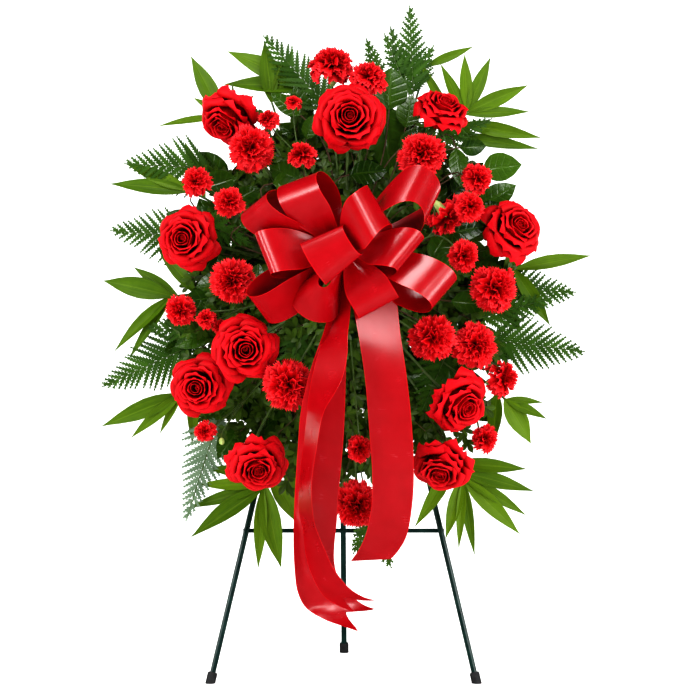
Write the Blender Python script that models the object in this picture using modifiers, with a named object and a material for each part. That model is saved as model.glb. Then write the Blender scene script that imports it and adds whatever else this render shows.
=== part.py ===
"""Standing funeral spray: roses, carnations, greens and a ribbon bow in a foam holder on a wire easel.

Metres, +Z up. The spray faces -Y, and its legs stand on z = 0.
"""

import math

import bmesh
import bpy
from mathutils import Matrix, Vector
from mathutils.geometry import interpolate_bezier

# Easel: an inverted V of steel rod that leans back, and a rear leg hinged on a bar near its top.
ROD_RADIUS = 0.0052
BAR_RADIUS = 0.0038
EASEL_X = -0.0035
FRONT_FEET_Y = -0.060
FOOT_HALF_SPREAD = 0.236
FRAME_LEAN = 0.2
TOP_HALF_SPREAD = 0.017
TOP_HEIGHT = 0.945
HINGE_HEIGHT = 0.90
STOP_HEIGHT = 0.935
LOWER_BAR_HEIGHT = 0.265
REAR_FOOT_Y = 0.3277
FIT_GAP = 0.0003

# Feet: rubber tips pushed over the rod ends and worn flat on the floor.
TIP_RADIUS = 0.0088
TIP_LENGTH = 0.020
TIP_BASE = 0.007

# Holder: a brick of wet floral foam in a shallow plastic tray, wired to the legs.
FOAM_HEIGHT = 0.230
FOAM_WIDTH = 0.105
FOAM_DEPTH = 0.080
HOLDER_HEIGHT = 0.70
TRAY_WALL = 0.002
TRAY_RIM = 0.020
TRAY_STANDOFF = 0.001
WIRE_RADIUS = 0.0012
STEM_INSERTION = 0.028
STRAIGHT = 0.016

# Spray: blooms sit on a low dome in front of the easel's plane.
DOME_HALF_WIDTH = 0.33
DOME_HALF_HEIGHT = 0.45
DOME_BASE = 0.06
DOME_RISE = 0.22
ROSE_STEM = 0.0027
CARNATION_STEM = 0.0022
SPRAY_STEM = 0.0018
LEAF_THICKNESS = 0.0016

# Bow: one ribbon in figure-of-eight layers, with three tails.
RIBBON_WIDTH = 0.075
RIBBON_THICKNESS = 0.0007
PINCH_WIDTH = 0.018
FULL_WIDTH_AT = 0.92
BOW_HEIGHT = 0.757
BOW_Y = -0.220
LAYER_STEP = 0.0070
LOOP_ROOT = 0.008
LOOP_ROOT_GAP = 0.0022


def clear_scene():
    for thing in list(bpy.data.objects):
        bpy.data.objects.remove(thing, do_unlink=True)


clear_scene()
parts = bpy.data.collections.new("funeral_spray")
cutters = bpy.data.collections.new("cutters")
bpy.context.scene.collection.children.link(parts)
bpy.context.scene.collection.children.link(cutters)


def plain_material(name, colour, roughness, metallic=0.0):
    """A Principled material of one colour."""
    made = bpy.data.materials.new(name)
    made.use_nodes = True
    shader = made.node_tree.nodes["Principled BSDF"]
    shader.inputs["Base Color"].default_value = (*colour, 1.0)
    shader.inputs["Roughness"].default_value = roughness
    shader.inputs["Metallic"].default_value = metallic
    made.diffuse_color = (*colour, 1.0)
    return made


ENAMEL = ((0.010, 0.045, 0.035), 0.35)
RUBBER = ((0.008, 0.008, 0.009), 0.7)
FOAM = ((0.040, 0.110, 0.045), 0.95)
TRAY = ((0.015, 0.070, 0.030), 0.5)
ROSE = ((0.420, 0.004, 0.010), 0.55)
CARNATION = ((0.640, 0.008, 0.012), 0.65)
SATIN = ((0.560, 0.004, 0.010), 0.30)
PALM = ((0.055, 0.170, 0.030), 0.50)
FERN = ((0.018, 0.085, 0.025), 0.60)
SALAL = ((0.030, 0.115, 0.025), 0.40)
BOW_WIRE = ((0.030, 0.075, 0.030), 0.45)


def add_part(name, data, finish, helper=False):
    """Link a mesh or curve as a named part with its own material, or as a hidden helper."""
    thing = bpy.data.objects.new(name, data)
    (cutters if helper else parts).objects.link(thing)
    if helper:
        thing.hide_render = True
        thing.display_type = "WIRE"
    else:
        data.materials.append(plain_material(name, finish[0], finish[1]))
    return thing


def tube_data(name, points, radii, sides):
    """A curve whose round section follows the radii along the points."""
    curve = bpy.data.curves.new(name, "CURVE")
    curve.dimensions = "3D"
    curve.bevel_depth = 1.0
    curve.bevel_resolution = (sides - 4) // 2
    curve.use_fill_caps = True
    spline = curve.splines.new("POLY")
    spline.points.add(len(points) - 1)
    for knot, place, radius in zip(spline.points, points, radii):
        knot.co = (*place, 1.0)
        knot.radius = radius
    return curve


def rod(name, points, radius, finish, sides=8):
    """A rod of constant section."""
    return add_part(name, tube_data(name, points, [radius] * len(points), sides), finish)


def meshed(thing, helper=False):
    """The same object as a welded mesh, so that it can be joined or cut."""
    bpy.context.view_layer.update()
    graph = bpy.context.evaluated_depsgraph_get()
    mesh = bpy.data.meshes.new_from_object(thing.evaluated_get(graph))
    shell = bmesh.new()
    shell.from_mesh(mesh)
    bmesh.ops.remove_doubles(shell, verts=shell.verts, dist=0.00001)
    shell.to_mesh(mesh)
    shell.free()
    name = thing.name
    place = thing.matrix_world.copy()
    bpy.data.objects.remove(thing, do_unlink=True)
    solid = bpy.data.objects.new(name, mesh)
    (cutters if helper else parts).objects.link(solid)
    solid.matrix_world = place
    if helper:
        solid.hide_render = True
        solid.display_type = "WIRE"
    return solid


def combine(thing, other, operation):
    """Join or cut a mesh object with a helper."""
    step = thing.modifiers.new(operation.lower(), "BOOLEAN")
    step.operation = operation
    step.object = other


def plane_point(x, z, out):
    """A point at a given distance in front of the leaning plane of the easel's legs."""
    return Vector((x, FRONT_FEET_Y + FRAME_LEAN * z - out, z))


# ---------------------------------------------------------------- easel


def leg_point(side, z):
    """Centre of a front leg at height z."""
    half = FOOT_HALF_SPREAD + (TOP_HALF_SPREAD - FOOT_HALF_SPREAD) * z / TOP_HEIGHT
    return plane_point(EASEL_X + side * half, z, 0.0)


for side, word in ((-1, "left"), (1, "right")):
    rod(f"leg_{word}", [leg_point(side, TIP_BASE), leg_point(side, TOP_HEIGHT)], ROD_RADIUS, ENAMEL, 10)


def crossbar(name, z, overhang, out):
    """A bar across both legs, resting on their back or their front."""
    left = leg_point(-1, z)
    right = leg_point(1, z)
    reach = Vector((overhang, -out, 0.0))
    rod(name, [left + reach * Vector((-1, 1, 1)), right + reach], BAR_RADIUS, ENAMEL)


REST_ON_LEG = (ROD_RADIUS + BAR_RADIUS + FIT_GAP) * math.hypot(1.0, FRAME_LEAN)
crossbar("lower_crossbar", LOWER_BAR_HEIGHT, 0.006, -REST_ON_LEG)
crossbar("hinge_bar", HINGE_HEIGHT, 0.005, -REST_ON_LEG)
crossbar("stop_bar", STOP_HEIGHT, 0.004, REST_ON_LEG)

hinge = plane_point(EASEL_X, HINGE_HEIGHT, -REST_ON_LEG)
stop = plane_point(EASEL_X, STOP_HEIGHT, REST_ON_LEG)
EYE_RADIUS = BAR_RADIUS + ROD_RADIUS + 0.0006
EYE_PITCH = 2 * ROD_RADIUS + 0.0012
EYE_STEPS = 16


def eye_point(turn):
    """The rear leg's rod as it winds once round the hinge bar, from behind it and over its top."""
    angle = 2 * math.pi * turn
    offset = Vector((EYE_PITCH * (turn - 0.5), EYE_RADIUS * math.cos(angle), EYE_RADIUS * math.sin(angle)))
    return hinge + offset


rear_foot = Vector((EASEL_X, REAR_FOOT_Y, 0.0))
rear_axis = (eye_point(0.0) - rear_foot).normalized()
finger_end = stop + Vector((EYE_PITCH / 2, ROD_RADIUS + BAR_RADIUS + 2 * FIT_GAP, 0.007))
rear_path = [rear_foot + rear_axis * TIP_BASE]
rear_path += [eye_point(step / EYE_STEPS) for step in range(EYE_STEPS + 1)]
rear_path.append(finger_end)
rod("rear_leg", rear_path, ROD_RADIUS, ENAMEL, 8)


def rubber_tip(name, foot, axis):
    """A turned cup over the rod's end, cut flat where it stands on the floor."""
    inner = ROD_RADIUS + FIT_GAP
    bottom = -0.006
    profile = (
        (0.0, TIP_BASE - FIT_GAP),
        (inner, TIP_BASE - FIT_GAP),
        (inner, TIP_LENGTH),
        (TIP_RADIUS - 0.0012, TIP_LENGTH),
        (TIP_RADIUS, TIP_LENGTH - 0.0025),
        (TIP_RADIUS, bottom),
        (0.0, bottom),
    )
    mesh = bpy.data.meshes.new(name)
    edges = [(index, index + 1) for index in range(len(profile) - 1)]
    mesh.from_pydata([(r, 0.0, height) for r, height in profile], edges, [])
    tip = add_part(name, mesh, RUBBER)
    tip.location = foot
    tip.rotation_euler = axis.to_track_quat("Z", "Y").to_euler()
    turn = tip.modifiers.new("turn", "SCREW")
    turn.steps = 16
    turn.render_steps = 16
    turn.use_merge_vertices = True
    turn.merge_threshold = 0.00001
    combine(tip, floor_cutter, "DIFFERENCE")


floor_shape = bmesh.new()
bmesh.ops.create_cube(floor_shape, size=1.0, matrix=Matrix.Translation((0, 0, -0.5)))
floor_mesh = bpy.data.meshes.new("floor_cutter")
floor_shape.to_mesh(floor_mesh)
floor_shape.free()
floor_cutter = add_part("floor_cutter", floor_mesh, None, helper=True)
floor_cutter.scale = (2, 2, 1)

for side, word in ((-1, "left"), (1, "right")):
    foot = leg_point(side, 0.0)
    rubber_tip(f"foot_{word}", foot, (leg_point(side, 1.0) - foot).normalized())
rubber_tip("foot_rear", rear_foot, rear_axis)

# ---------------------------------------------------------------- holder

holder = bpy.data.objects.new("holder_frame", None)
parts.objects.link(holder)
holder.location = plane_point(EASEL_X, HOLDER_HEIGHT, 0.0)
holder.rotation_euler = (-math.atan(FRAME_LEAN), 0.0, 0.0)
bpy.context.view_layer.update()
HOLDER_MATRIX = holder.matrix_world.copy()
TRAY_BACK = ROD_RADIUS + TRAY_STANDOFF
FOAM_BACK = TRAY_BACK + TRAY_WALL + FIT_GAP


def box_mesh(name, low, high):
    """A box between two corners."""
    shape = bmesh.new()
    bmesh.ops.create_cube(shape, size=1.0)
    middle = (Vector(low) + Vector(high)) / 2
    size = Vector(high) - Vector(low)
    bmesh.ops.scale(shape, vec=size, verts=shape.verts)
    bmesh.ops.translate(shape, vec=middle, verts=shape.verts)
    mesh = bpy.data.meshes.new(name)
    shape.to_mesh(mesh)
    shape.free()
    return mesh


def in_holder(name, low, high, finish, helper=False):
    """A box placed in the holder's leaning frame, where -Y is the front."""
    thing = add_part(name, box_mesh(name, low, high), finish, helper)
    thing.parent = holder
    return thing


half_w = FOAM_WIDTH / 2
half_h = FOAM_HEIGHT / 2
foam = in_holder(
    "foam_brick",
    (-half_w, -FOAM_BACK - FOAM_DEPTH, -half_h),
    (half_w, -FOAM_BACK, half_h),
    FOAM,
)
side_gap = FIT_GAP + TRAY_WALL
tray = in_holder(
    "holder_tray",
    (-half_w - side_gap, -TRAY_BACK - TRAY_WALL - TRAY_RIM, -half_h - side_gap),
    (half_w + side_gap, -TRAY_BACK, half_h + side_gap),
    TRAY,
)
tray_hollow = in_holder(
    "tray_hollow",
    (-half_w - FIT_GAP, -TRAY_BACK - 2 * TRAY_RIM, -half_h - FIT_GAP),
    (half_w + FIT_GAP, -TRAY_BACK - TRAY_WALL, half_h + FIT_GAP),
    None,
    helper=True,
)
combine(tray, tray_hollow, "DIFFERENCE")


def wire_route():
    """From the tray's rim round the outside of one leg, behind both legs, and back to the other rim."""
    leg_x = leg_point(1, HOLDER_HEIGHT).x - EASEL_X
    reach = ROD_RADIUS + WIRE_RADIUS + 2 * FIT_GAP
    edge = half_w + side_gap
    clear = WIRE_RADIUS + FIT_GAP
    rim = TRAY_BACK + TRAY_WALL + TRAY_RIM
    right = [
        (edge - TRAY_WALL / 2, rim + clear),
        (edge + clear, rim + clear),
        (edge + clear + 0.001, TRAY_BACK + 0.010),
        (leg_x - 0.003, reach + 0.001),
        (leg_x + reach * 0.8, reach * 0.8),
        (leg_x + reach * 1.15, 0.0),
        (leg_x + reach * 0.8, -reach * 0.8),
        (leg_x - 0.004, -reach),
    ]
    left = [(-x, out) for x, out in reversed(right)]
    return [HOLDER_MATRIX @ Vector((x, -out, 0.0)) for x, out in right + left]


rod("tie_wire", wire_route(), WIRE_RADIUS, BOW_WIRE)

focus = HOLDER_MATRIX @ Vector((0.0, -FOAM_BACK - FOAM_DEPTH * 0.45, 0.0))


def foam_exit(direction):
    """How far from the focus a straight line leaves the foam."""
    local = HOLDER_MATRIX.to_3x3().inverted() @ direction
    front = FOAM_DEPTH * (0.55 if local.y < 0 else 0.45)
    reaches = [
        half_w / max(abs(local.x), 1e-6),
        front / max(abs(local.y), 1e-6),
        half_h / max(abs(local.z), 1e-6),
    ]
    return min(reaches)


def drill_foam(name, start, end, half_width, half_depth=None, facing=Vector((0, -1, 0))):
    """A hole in the foam round the inserted end of a stem, whose flat side is towards `facing`."""
    direction = (end - start).normalized()
    begin = start - direction * FIT_GAP * 2
    size = (half_width, half_depth or half_width)
    length = (end - begin).length
    mesh = box_mesh(name, (-size[0], -size[1], 0.0), (size[0], size[1], length))
    hole = add_part(name, mesh, None, helper=True)
    depth = (facing - direction * direction.dot(facing)).normalized()
    side = depth.cross(direction)
    turned = Matrix((side, depth, direction)).transposed()
    hole.matrix_world = Matrix.Translation(begin) @ turned.to_4x4()
    combine(foam, hole, "DIFFERENCE")


# ---------------------------------------------------------------- flowers

# Profiles run from the neck to the flat centre: (distance along the bloom's axis, radius),
# both as parts of the bloom's half width.
ROSE_PROFILE = (
    (-0.98, 0.13),
    (-0.86, 0.34),
    (-0.55, 0.70),
    (-0.15, 0.96),
    (0.10, 1.00),
    (0.30, 0.86),
    (0.42, 0.55),
)
CARNATION_PROFILE = (
    (-1.20, 0.12),
    (-1.05, 0.22),
    (-0.58, 0.25),
    (-0.30, 0.80),
    (0.05, 1.00),
    (0.32, 0.84),
    (0.45, 0.52),
)
BUD_PROFILE = (
    (-2.0, 0.25),
    (-1.7, 0.70),
    (-0.6, 1.00),
    (0.5, 0.95),
    (1.2, 0.60),
)


def dome_point(x, z, push=0.0):
    """A point on the dome that the bloom centres make."""
    rho = min(1.0, math.hypot(x / DOME_HALF_WIDTH, (z - HOLDER_HEIGHT) / DOME_HALF_HEIGHT))
    return plane_point(x, z, DOME_BASE + DOME_RISE * math.sqrt(1 - rho * rho) + push)


def curve_between(start, start_way, end, end_way, steps):
    """A smooth run of points that leaves and arrives along given directions."""
    reach = (end - start).length
    return interpolate_bezier(start, start + start_way * reach * 0.5, end - end_way * reach * 0.2, end, steps)


def bloom_tube(name, path, head, facing, half_width, profile, stem_radius, sides):
    """Stem, calyx and bloom as one turned form along a bent centreline."""
    points = list(path)
    radii = [stem_radius] * len(points)
    for along, wide in profile:
        points.append(head + facing * along * half_width)
        radii.append(max(stem_radius, wide * half_width))
    return tube_data(name, points, radii, sides)


def inserted_start(toward):
    """Where a stem begins inside the foam, and where it leaves it."""
    direction = (toward - focus).normalized()
    leave = foam_exit(direction)
    return focus + direction * (leave - STEM_INSERTION), focus + direction * (leave + STRAIGHT), direction


def flower(name, x, z, width, facing, profile, stem_radius, finish, sides, push=0.0):
    """One bloom on its own stem, with the stem's end in the foam."""
    head = dome_point(x, z, push)
    facing = Vector(facing).normalized()
    half = width / 2
    neck = head + facing * (profile[0][0] * half - 0.012)
    start, leave, direction = inserted_start(neck)
    path = [start] + curve_between(leave, direction, neck, facing, 5)
    add_part(name, bloom_tube(name, path, head, facing, half, profile, stem_radius, sides), finish)
    drill_foam(f"{name}_hole", start, leave, stem_radius + FIT_GAP)


def rose(name, x, z, width, facing, push=0.0):
    flower(f"rose_{name}", x, z, width, facing, ROSE_PROFILE, ROSE_STEM, ROSE, 10, push)


def carnation(name, x, z, width, facing, push=0.0):
    flower(f"carnation_{name}", x, z, width, facing, CARNATION_PROFILE, CARNATION_STEM, CARNATION, 8, push)


rose("top_left", -0.215, 1.004, 0.102, (-0.40, -0.62, -0.66))
rose("top_centre", 0.008, 1.000, 0.110, (0.05, -1.00, 0.10))
rose("top_right", 0.175, 1.023, 0.090, (0.30, -0.55, 0.70))
rose("left_upper", -0.281, 0.788, 0.098, (-0.25, -0.95, 0.00))
rose("right_upper", 0.301, 0.807, 0.104, (0.45, -0.75, 0.40))
rose("left_inner", -0.172, 0.593, 0.100, (0.05, -1.00, -0.05))
rose("left_outer", -0.254, 0.526, 0.094, (-0.15, -0.97, -0.10))
rose("bottom_left", -0.152, 0.389, 0.094, (0.15, -0.85, -0.45))
rose("right_lower", 0.199, 0.497, 0.098, (0.50, -0.75, -0.40))
rose("bottom_right", 0.165, 0.386, 0.094, (-0.20, -0.75, -0.60))

carnation("top_left", -0.168, 0.948, 0.084, (-0.10, -0.95, 0.10))
carnation("top_right", 0.136, 0.937, 0.086, (0.10, -0.90, 0.25))
carnation("crown_left", -0.024, 1.112, 0.084, (0.00, -0.35, 0.93))
carnation("crown_right", 0.042, 1.086, 0.070, (0.10, -0.45, 0.88))
carnation("left", -0.197, 0.709, 0.080, (-0.10, -1.00, 0.00))
carnation("left_lower", -0.097, 0.530, 0.088, (0.00, -1.00, -0.10))
carnation("right_upper", 0.265, 0.700, 0.086, (0.25, -0.90, 0.10))
carnation("right_lower", 0.150, 0.612, 0.082, (0.05, -0.95, 0.10))
carnation("right_outer", 0.228, 0.599, 0.084, (0.30, -0.85, 0.10))
carnation("bottom", 0.020, 0.319, 0.084, (0.00, -0.85, -0.35))


def carnation_spray(name, fork, heads):
    """A branched stem with small blooms: each head is (x, z, width, facing, push, profile)."""
    fork_point = dome_point(fork[0], fork[1], fork[2])
    start, leave, direction = inserted_start(fork_point)
    stem = [start] + curve_between(leave, direction, fork_point, direction, 3)
    body = None
    for index, (x, z, width, facing, push, profile) in enumerate(heads):
        head = dome_point(x, z, push)
        facing = Vector(facing).normalized()
        half = width / 2
        neck = head + facing * (profile[0][0] * half - 0.008)
        branch = curve_between(fork_point, direction, neck, facing, 5)
        path = stem + branch[1:] if body is None else branch
        thin = SPRAY_STEM if body is None else SPRAY_STEM * 0.88
        label = f"carnation_spray_{name}" if body is None else f"spray_{name}_branch_{index}"
        tube = add_part(
            label,
            bloom_tube(label, path, head, facing, half, profile, thin, 8),
            CARNATION,
            helper=body is not None,
        )
        solid = meshed(tube, helper=body is not None)
        if body is None:
            body = solid
        else:
            combine(body, solid, "UNION")
    drill_foam(f"spray_{name}_hole", start, leave, SPRAY_STEM + FIT_GAP)


carnation_spray(
    "top_left",
    (-0.085, 0.92, -0.07),
    (
        (-0.093, 1.036, 0.032, (0.00, -0.30, 0.95), -0.02, CARNATION_PROFILE),
        (-0.139, 1.003, 0.042, (-0.35, -0.50, 0.70), 0.0, CARNATION_PROFILE),
        (-0.077, 0.936, 0.054, (-0.20, -0.60, 0.60), 0.0, CARNATION_PROFILE),
    ),
)
carnation_spray(
    "left_upper",
    (-0.200, 0.815, -0.07),
    (
        (-0.270, 0.894, 0.058, (-0.30, -0.85, 0.30), 0.0, CARNATION_PROFILE),
        (-0.203, 0.850, 0.058, (0.00, -1.00, 0.10), 0.0, CARNATION_PROFILE),
        (-0.172, 0.893, 0.012, (0.20, -0.50, 0.80), -0.04, BUD_PROFILE),
    ),
)
carnation_spray(
    "left_middle",
    (-0.205, 0.640, -0.07),
    (
        (-0.292, 0.660, 0.058, (-0.20, -0.95, 0.00), 0.0, CARNATION_PROFILE),
        (-0.244, 0.646, 0.038, (-0.30, -0.80, 0.30), 0.01, CARNATION_PROFILE),
        (-0.216, 0.628, 0.030, (0.20, -0.80, -0.40), -0.02, CARNATION_PROFILE),
    ),
)
carnation_spray(
    "left_lower",
    (-0.200, 0.470, -0.06),
    (
        (-0.247, 0.447, 0.042, (-0.20, -0.90, -0.10), 0.0, CARNATION_PROFILE),
        (-0.215, 0.430, 0.010, (0.10, -0.70, -0.50), -0.01, BUD_PROFILE),
    ),
)
carnation_spray(
    "right_upper",
    (0.185, 0.800, -0.07),
    (
        (0.235, 0.896, 0.060, (0.10, -0.90, 0.35), 0.0, CARNATION_PROFILE),
        (0.218, 0.842, 0.058, (0.00, -0.95, 0.20), 0.015, CARNATION_PROFILE),
        (0.206, 0.755, 0.060, (0.05, -1.00, 0.05), 0.0, CARNATION_PROFILE),
    ),
)
carnation_spray(
    "right_lower",
    (0.215, 0.500, -0.09),
    (
        (0.246, 0.434, 0.052, (0.20, -0.95, 0.00), 0.0, CARNATION_PROFILE),
        (0.282, 0.540, 0.068, (0.92, -0.40, 0.20), 0.0, CARNATION_PROFILE),
    ),
)
carnation_spray(
    "bottom",
    (0.020, 0.500, -0.07),
    ((0.025, 0.422, 0.050, (0.00, -1.00, -0.10), 0.0, CARNATION_PROFILE),),
)

# ---------------------------------------------------------------- greens


def leaflet_edge(base, length, width, shape, angle, side):
    """Outline of one leaflet, out along its lower edge and back along its upper one.

    The first station of the shape is the joint with the stem, and lies along the stem's edge.
    """
    way = Vector((side * math.sin(angle), math.cos(angle)))
    across = Vector((-side * way.y, side * way.x)) if side else Vector((-1, 0))
    joint = (Vector((0, 1)) if side else Vector((-1, 0))) * (width / 2 * shape[0])
    lower = [base - joint]
    lower += [base + way * (length * along) - across * (width / 2 * wide) for along, wide in shape[1:]]
    upper = [base + way * (length * along) + across * (width / 2 * wide) for along, wide in shape[:0:-1]]
    return lower + [base + way * length] + upper + [base + joint]


def frond(name, tip, leaf_start, leaflets, shape, finish, out=0.05, stem_width=0.005):
    """A flat spray of leaflets on one stem that runs from the foam to the tip.

    Each leaflet is (how far along the stem from leaf_start, side, angle in degrees, length, width).
    """
    end = plane_point(tip[0], tip[1], out)
    start, leave, direction = inserted_start(end)
    length = (end - start).length
    half = stem_width / 2
    edges = {-1: [Vector((-half, 0.0))], 1: [Vector((half, 0.0))]}
    last = length
    for along, side, angle, reach, width in leaflets:
        place = leaf_start + along
        if side == 0:
            last = place
            top = leaflet_edge(Vector((0.0, place)), reach, width, shape, 0.0, 0)
            continue
        base = Vector((side * half, place))
        edges[side] += leaflet_edge(base, reach, width, shape, math.radians(angle), side)
    outline = edges[1] + top + list(reversed(edges[-1]))
    curve = bpy.data.curves.new(name, "CURVE")
    curve.dimensions = "2D"
    curve.fill_mode = "BOTH"
    curve.extrude = LEAF_THICKNESS / 2
    spline = curve.splines.new("POLY")
    spline.points.add(len(outline) - 1)
    spline.use_cyclic_u = True
    for knot, place in zip(spline.points, outline):
        knot.co = (place.x, place.y, 0.0, 1.0)
    thing = add_part(name, curve, finish)
    front = Vector((0.0, -1.0, FRAME_LEAN))
    facing = (front - direction * direction.dot(front)).normalized()
    across = direction.cross(facing)
    turned = Matrix((across, direction, facing)).transposed()
    thing.matrix_world = Matrix.Translation(start) @ turned.to_4x4()
    drill_foam(f"{name}_hole", start, leave, half + FIT_GAP, LEAF_THICKNESS / 2 + FIT_GAP, facing)


# Each shape is the width at the joint, then (how far out, width), as parts of the leaflet's own size.
PALM_SHAPE = (0.30, (0.35, 1.0), (0.65, 0.80))
FERN_SHAPE = (0.60, (0.45, 1.0))
OVAL_SHAPE = (0.12, (0.20, 0.75), (0.50, 1.0), (0.80, 0.62))


def palm(name, tip, leaf_start, reach, pairs, out=0.05):
    """A palm frond tip: pairs of blades that close up towards a longer end blade."""
    leaflets = []
    for index in range(pairs):
        angle = 62 - 30 * index / max(1, pairs - 1)
        for side in (-1, 1):
            place = 0.028 * index + (0.010 if side > 0 else 0.0)
            leaflets.append((place, side, angle, reach * (1 - 0.06 * index), 0.017))
    leaflets.append((0.028 * pairs + 0.004, 0, 0, reach * 1.02, 0.019))
    frond(name, tip, leaf_start, leaflets, PALM_SHAPE, PALM, out)


def leatherleaf(name, tip, leaf_start, length, spread, out=0.055):
    """A leatherleaf fern frond: side sprays that shorten evenly to the point."""
    count = 8
    leaflets = []
    for index in range(count):
        share = index / count
        for side in (-1, 1):
            place = length * share + (0.006 if side > 0 else 0.0)
            leaflets.append((place, side, 58, spread * (1 - 0.86 * share), length / count * 0.62))
    leaflets.append((length * 0.99, 0, 0, length * 0.10, 0.012))
    frond(name, tip, leaf_start, leaflets, FERN_SHAPE, FERN, out, stem_width=0.004)


def blade_start(tip, out, back):
    """Distance along a stem from its inserted end to a point that lies `back` short of the tip."""
    end = plane_point(tip[0], tip[1], out)
    start, _, _ = inserted_start(end)
    return (end - start).length - back


def palm_to(name, tip, reach, pairs, out=0.05):
    """A palm frond whose end blade reaches the given tip."""
    back = 0.028 * pairs + 0.004 + reach * 1.02
    palm(name, tip, blade_start(tip, out, back), reach, pairs, out)


def leatherleaf_to(name, tip, length, spread, out=0.055):
    """A fern frond whose point reaches the given tip."""
    leatherleaf(name, tip, blade_start(tip, out, length * 1.09), length, spread, out)


palm_to("palm_top_left", (-0.290, 1.120), 0.105, 3, out=0.032)
palm_to("palm_top_right", (0.330, 1.090), 0.130, 3)
palm_to("palm_left", (-0.440, 0.718), 0.115, 3)
palm_to("palm_right", (0.445, 0.762), 0.115, 3, out=0.020)
palm_to("palm_bottom_left", (-0.250, 0.262), 0.115, 3)
palm_to("palm_bottom_right", (0.315, 0.285), 0.115, 3)
leatherleaf_to("fern_top", (0.115, 1.226), 0.190, 0.075)
leatherleaf_to("fern_left_upper", (-0.400, 0.930), 0.180, 0.070)
leatherleaf_to("fern_left_lower", (-0.432, 0.527), 0.180, 0.070)
leatherleaf_to("fern_right", (0.425, 0.590), 0.180, 0.070)

SALAL_LEAVES = (
    (0.000, -1, 50, 0.070, 0.040),
    (0.045, 1, 48, 0.072, 0.042),
    (0.080, -1, 42, 0.066, 0.038),
    (0.110, 0, 0, 0.070, 0.042),
)
salal_tip = (0.078, 1.070)
frond(
    "salal_top",
    salal_tip,
    blade_start(salal_tip, 0.075, 0.180),
    SALAL_LEAVES,
    OVAL_SHAPE,
    SALAL,
    out=0.075,
)

# ---------------------------------------------------------------- bow

bow_centre = Vector((0.0, BOW_Y, BOW_HEIGHT))


def ribbon_band(name, stations):
    """A thin band from stations of (centre, half width as a vector)."""
    shape = bmesh.new()
    bmesh.ops.create_grid(shape, x_segments=len(stations) - 1, y_segments=1, size=1.0)
    last = len(stations) - 1
    for corner in shape.verts:
        centre, across = stations[round((corner.co.x + 1) / 2 * last)]
        corner.co = centre + across * (1 if corner.co.y > 0 else -1)
    mesh = bpy.data.meshes.new(name)
    shape.to_mesh(mesh)
    shape.free()
    band = add_part(name, mesh, SATIN)
    thick = band.modifiers.new("thickness", "SOLIDIFY")
    thick.thickness = RIBBON_THICKNESS
    thick.offset = 0.0
    return band


def loop_stations(root, azimuth, elevation, length, opening, roll, steps=14):
    """One ribbon loop: out from the pinch, round its end, and back.

    Azimuth is seen from the front, from +X towards +Z. Elevation lifts the loop to the front.
    Roll turns the ribbon's face about the loop's own line.
    """
    azimuth = math.radians(azimuth)
    elevation = math.radians(elevation)
    flat = Vector((math.cos(azimuth), 0.0, math.sin(azimuth)))
    way = flat * math.cos(elevation) + Vector((0, -1, 0)) * math.sin(elevation)
    flat_across = Vector((0, -1, 0)).cross(flat).normalized()
    begin = root + way * LOOP_ROOT
    stations = []
    for step in range(steps + 1):
        angle = 2 * math.pi * step / steps
        out = (1 - math.cos(angle)) / 2
        spread = math.sin(angle) * math.sin(angle / 2) ** 2 / 0.65
        widen = min(1.0, out / FULL_WIDTH_AT)
        widen = widen * widen * (3 - 2 * widen)
        across = Matrix.Rotation(math.radians(roll) * widen, 3, way) @ flat_across
        lift = across.cross(way)
        centre = begin + way * (length * out)
        centre += lift * (opening / 2 * spread + LOOP_ROOT_GAP / 2 * math.cos(angle / 2))
        half = (PINCH_WIDTH + (RIBBON_WIDTH - PINCH_WIDTH) * widen) / 2
        stations.append((centre, across * half))
    return stations


def layer_root(layer):
    return bow_centre + Vector((0.0, -LAYER_STEP * layer, 0.0))


def figure_of_eight(name, layer, first, second=None):
    """One layer of the bow: a loop, the pinch, and the loop on the other side."""
    root = layer_root(layer)
    stations = loop_stations(root, *first)
    if second:
        other = loop_stations(root, *second)
        if other[0][1].dot(stations[-1][1]) < 0:
            other = [(centre, -across) for centre, across in other]
        stations += other
    ribbon_band(name, stations)


# Each loop is (azimuth, elevation, length, opening, roll).
figure_of_eight("bow_layer_1", 0, (156, 4, 0.165, 0.045, 10), (-22, 4, 0.170, 0.045, -10))
figure_of_eight("bow_layer_2", 1, (205, 6, 0.160, 0.045, -10), (38, 8, 0.165, 0.045, 10))
figure_of_eight("bow_layer_3", 2, (180, 28, 0.145, 0.040, 0), (10, 28, 0.135, 0.040, 0))
figure_of_eight("bow_layer_4", 3, (116, 28, 0.135, 0.040, 0), (-57, 34, 0.120, 0.040, 0))
figure_of_eight("bow_layer_5", 4, (66, 38, 0.125, 0.040, 0), (238, 38, 0.115, 0.040, 0))
figure_of_eight("bow_layer_6", 5, (165, 58, 0.080, 0.034, 0))


def tail(name, stations):
    """A ribbon tail from stations right, up and in front of the pinch, each with its half width's vector."""
    band = []
    for x, z, front, half_x, half_z, half_front in stations:
        centre = bow_centre + Vector((x, -front, z))
        band.append((centre, Vector((half_x, -half_front, half_z))))
    ribbon_band(name, band)


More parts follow.
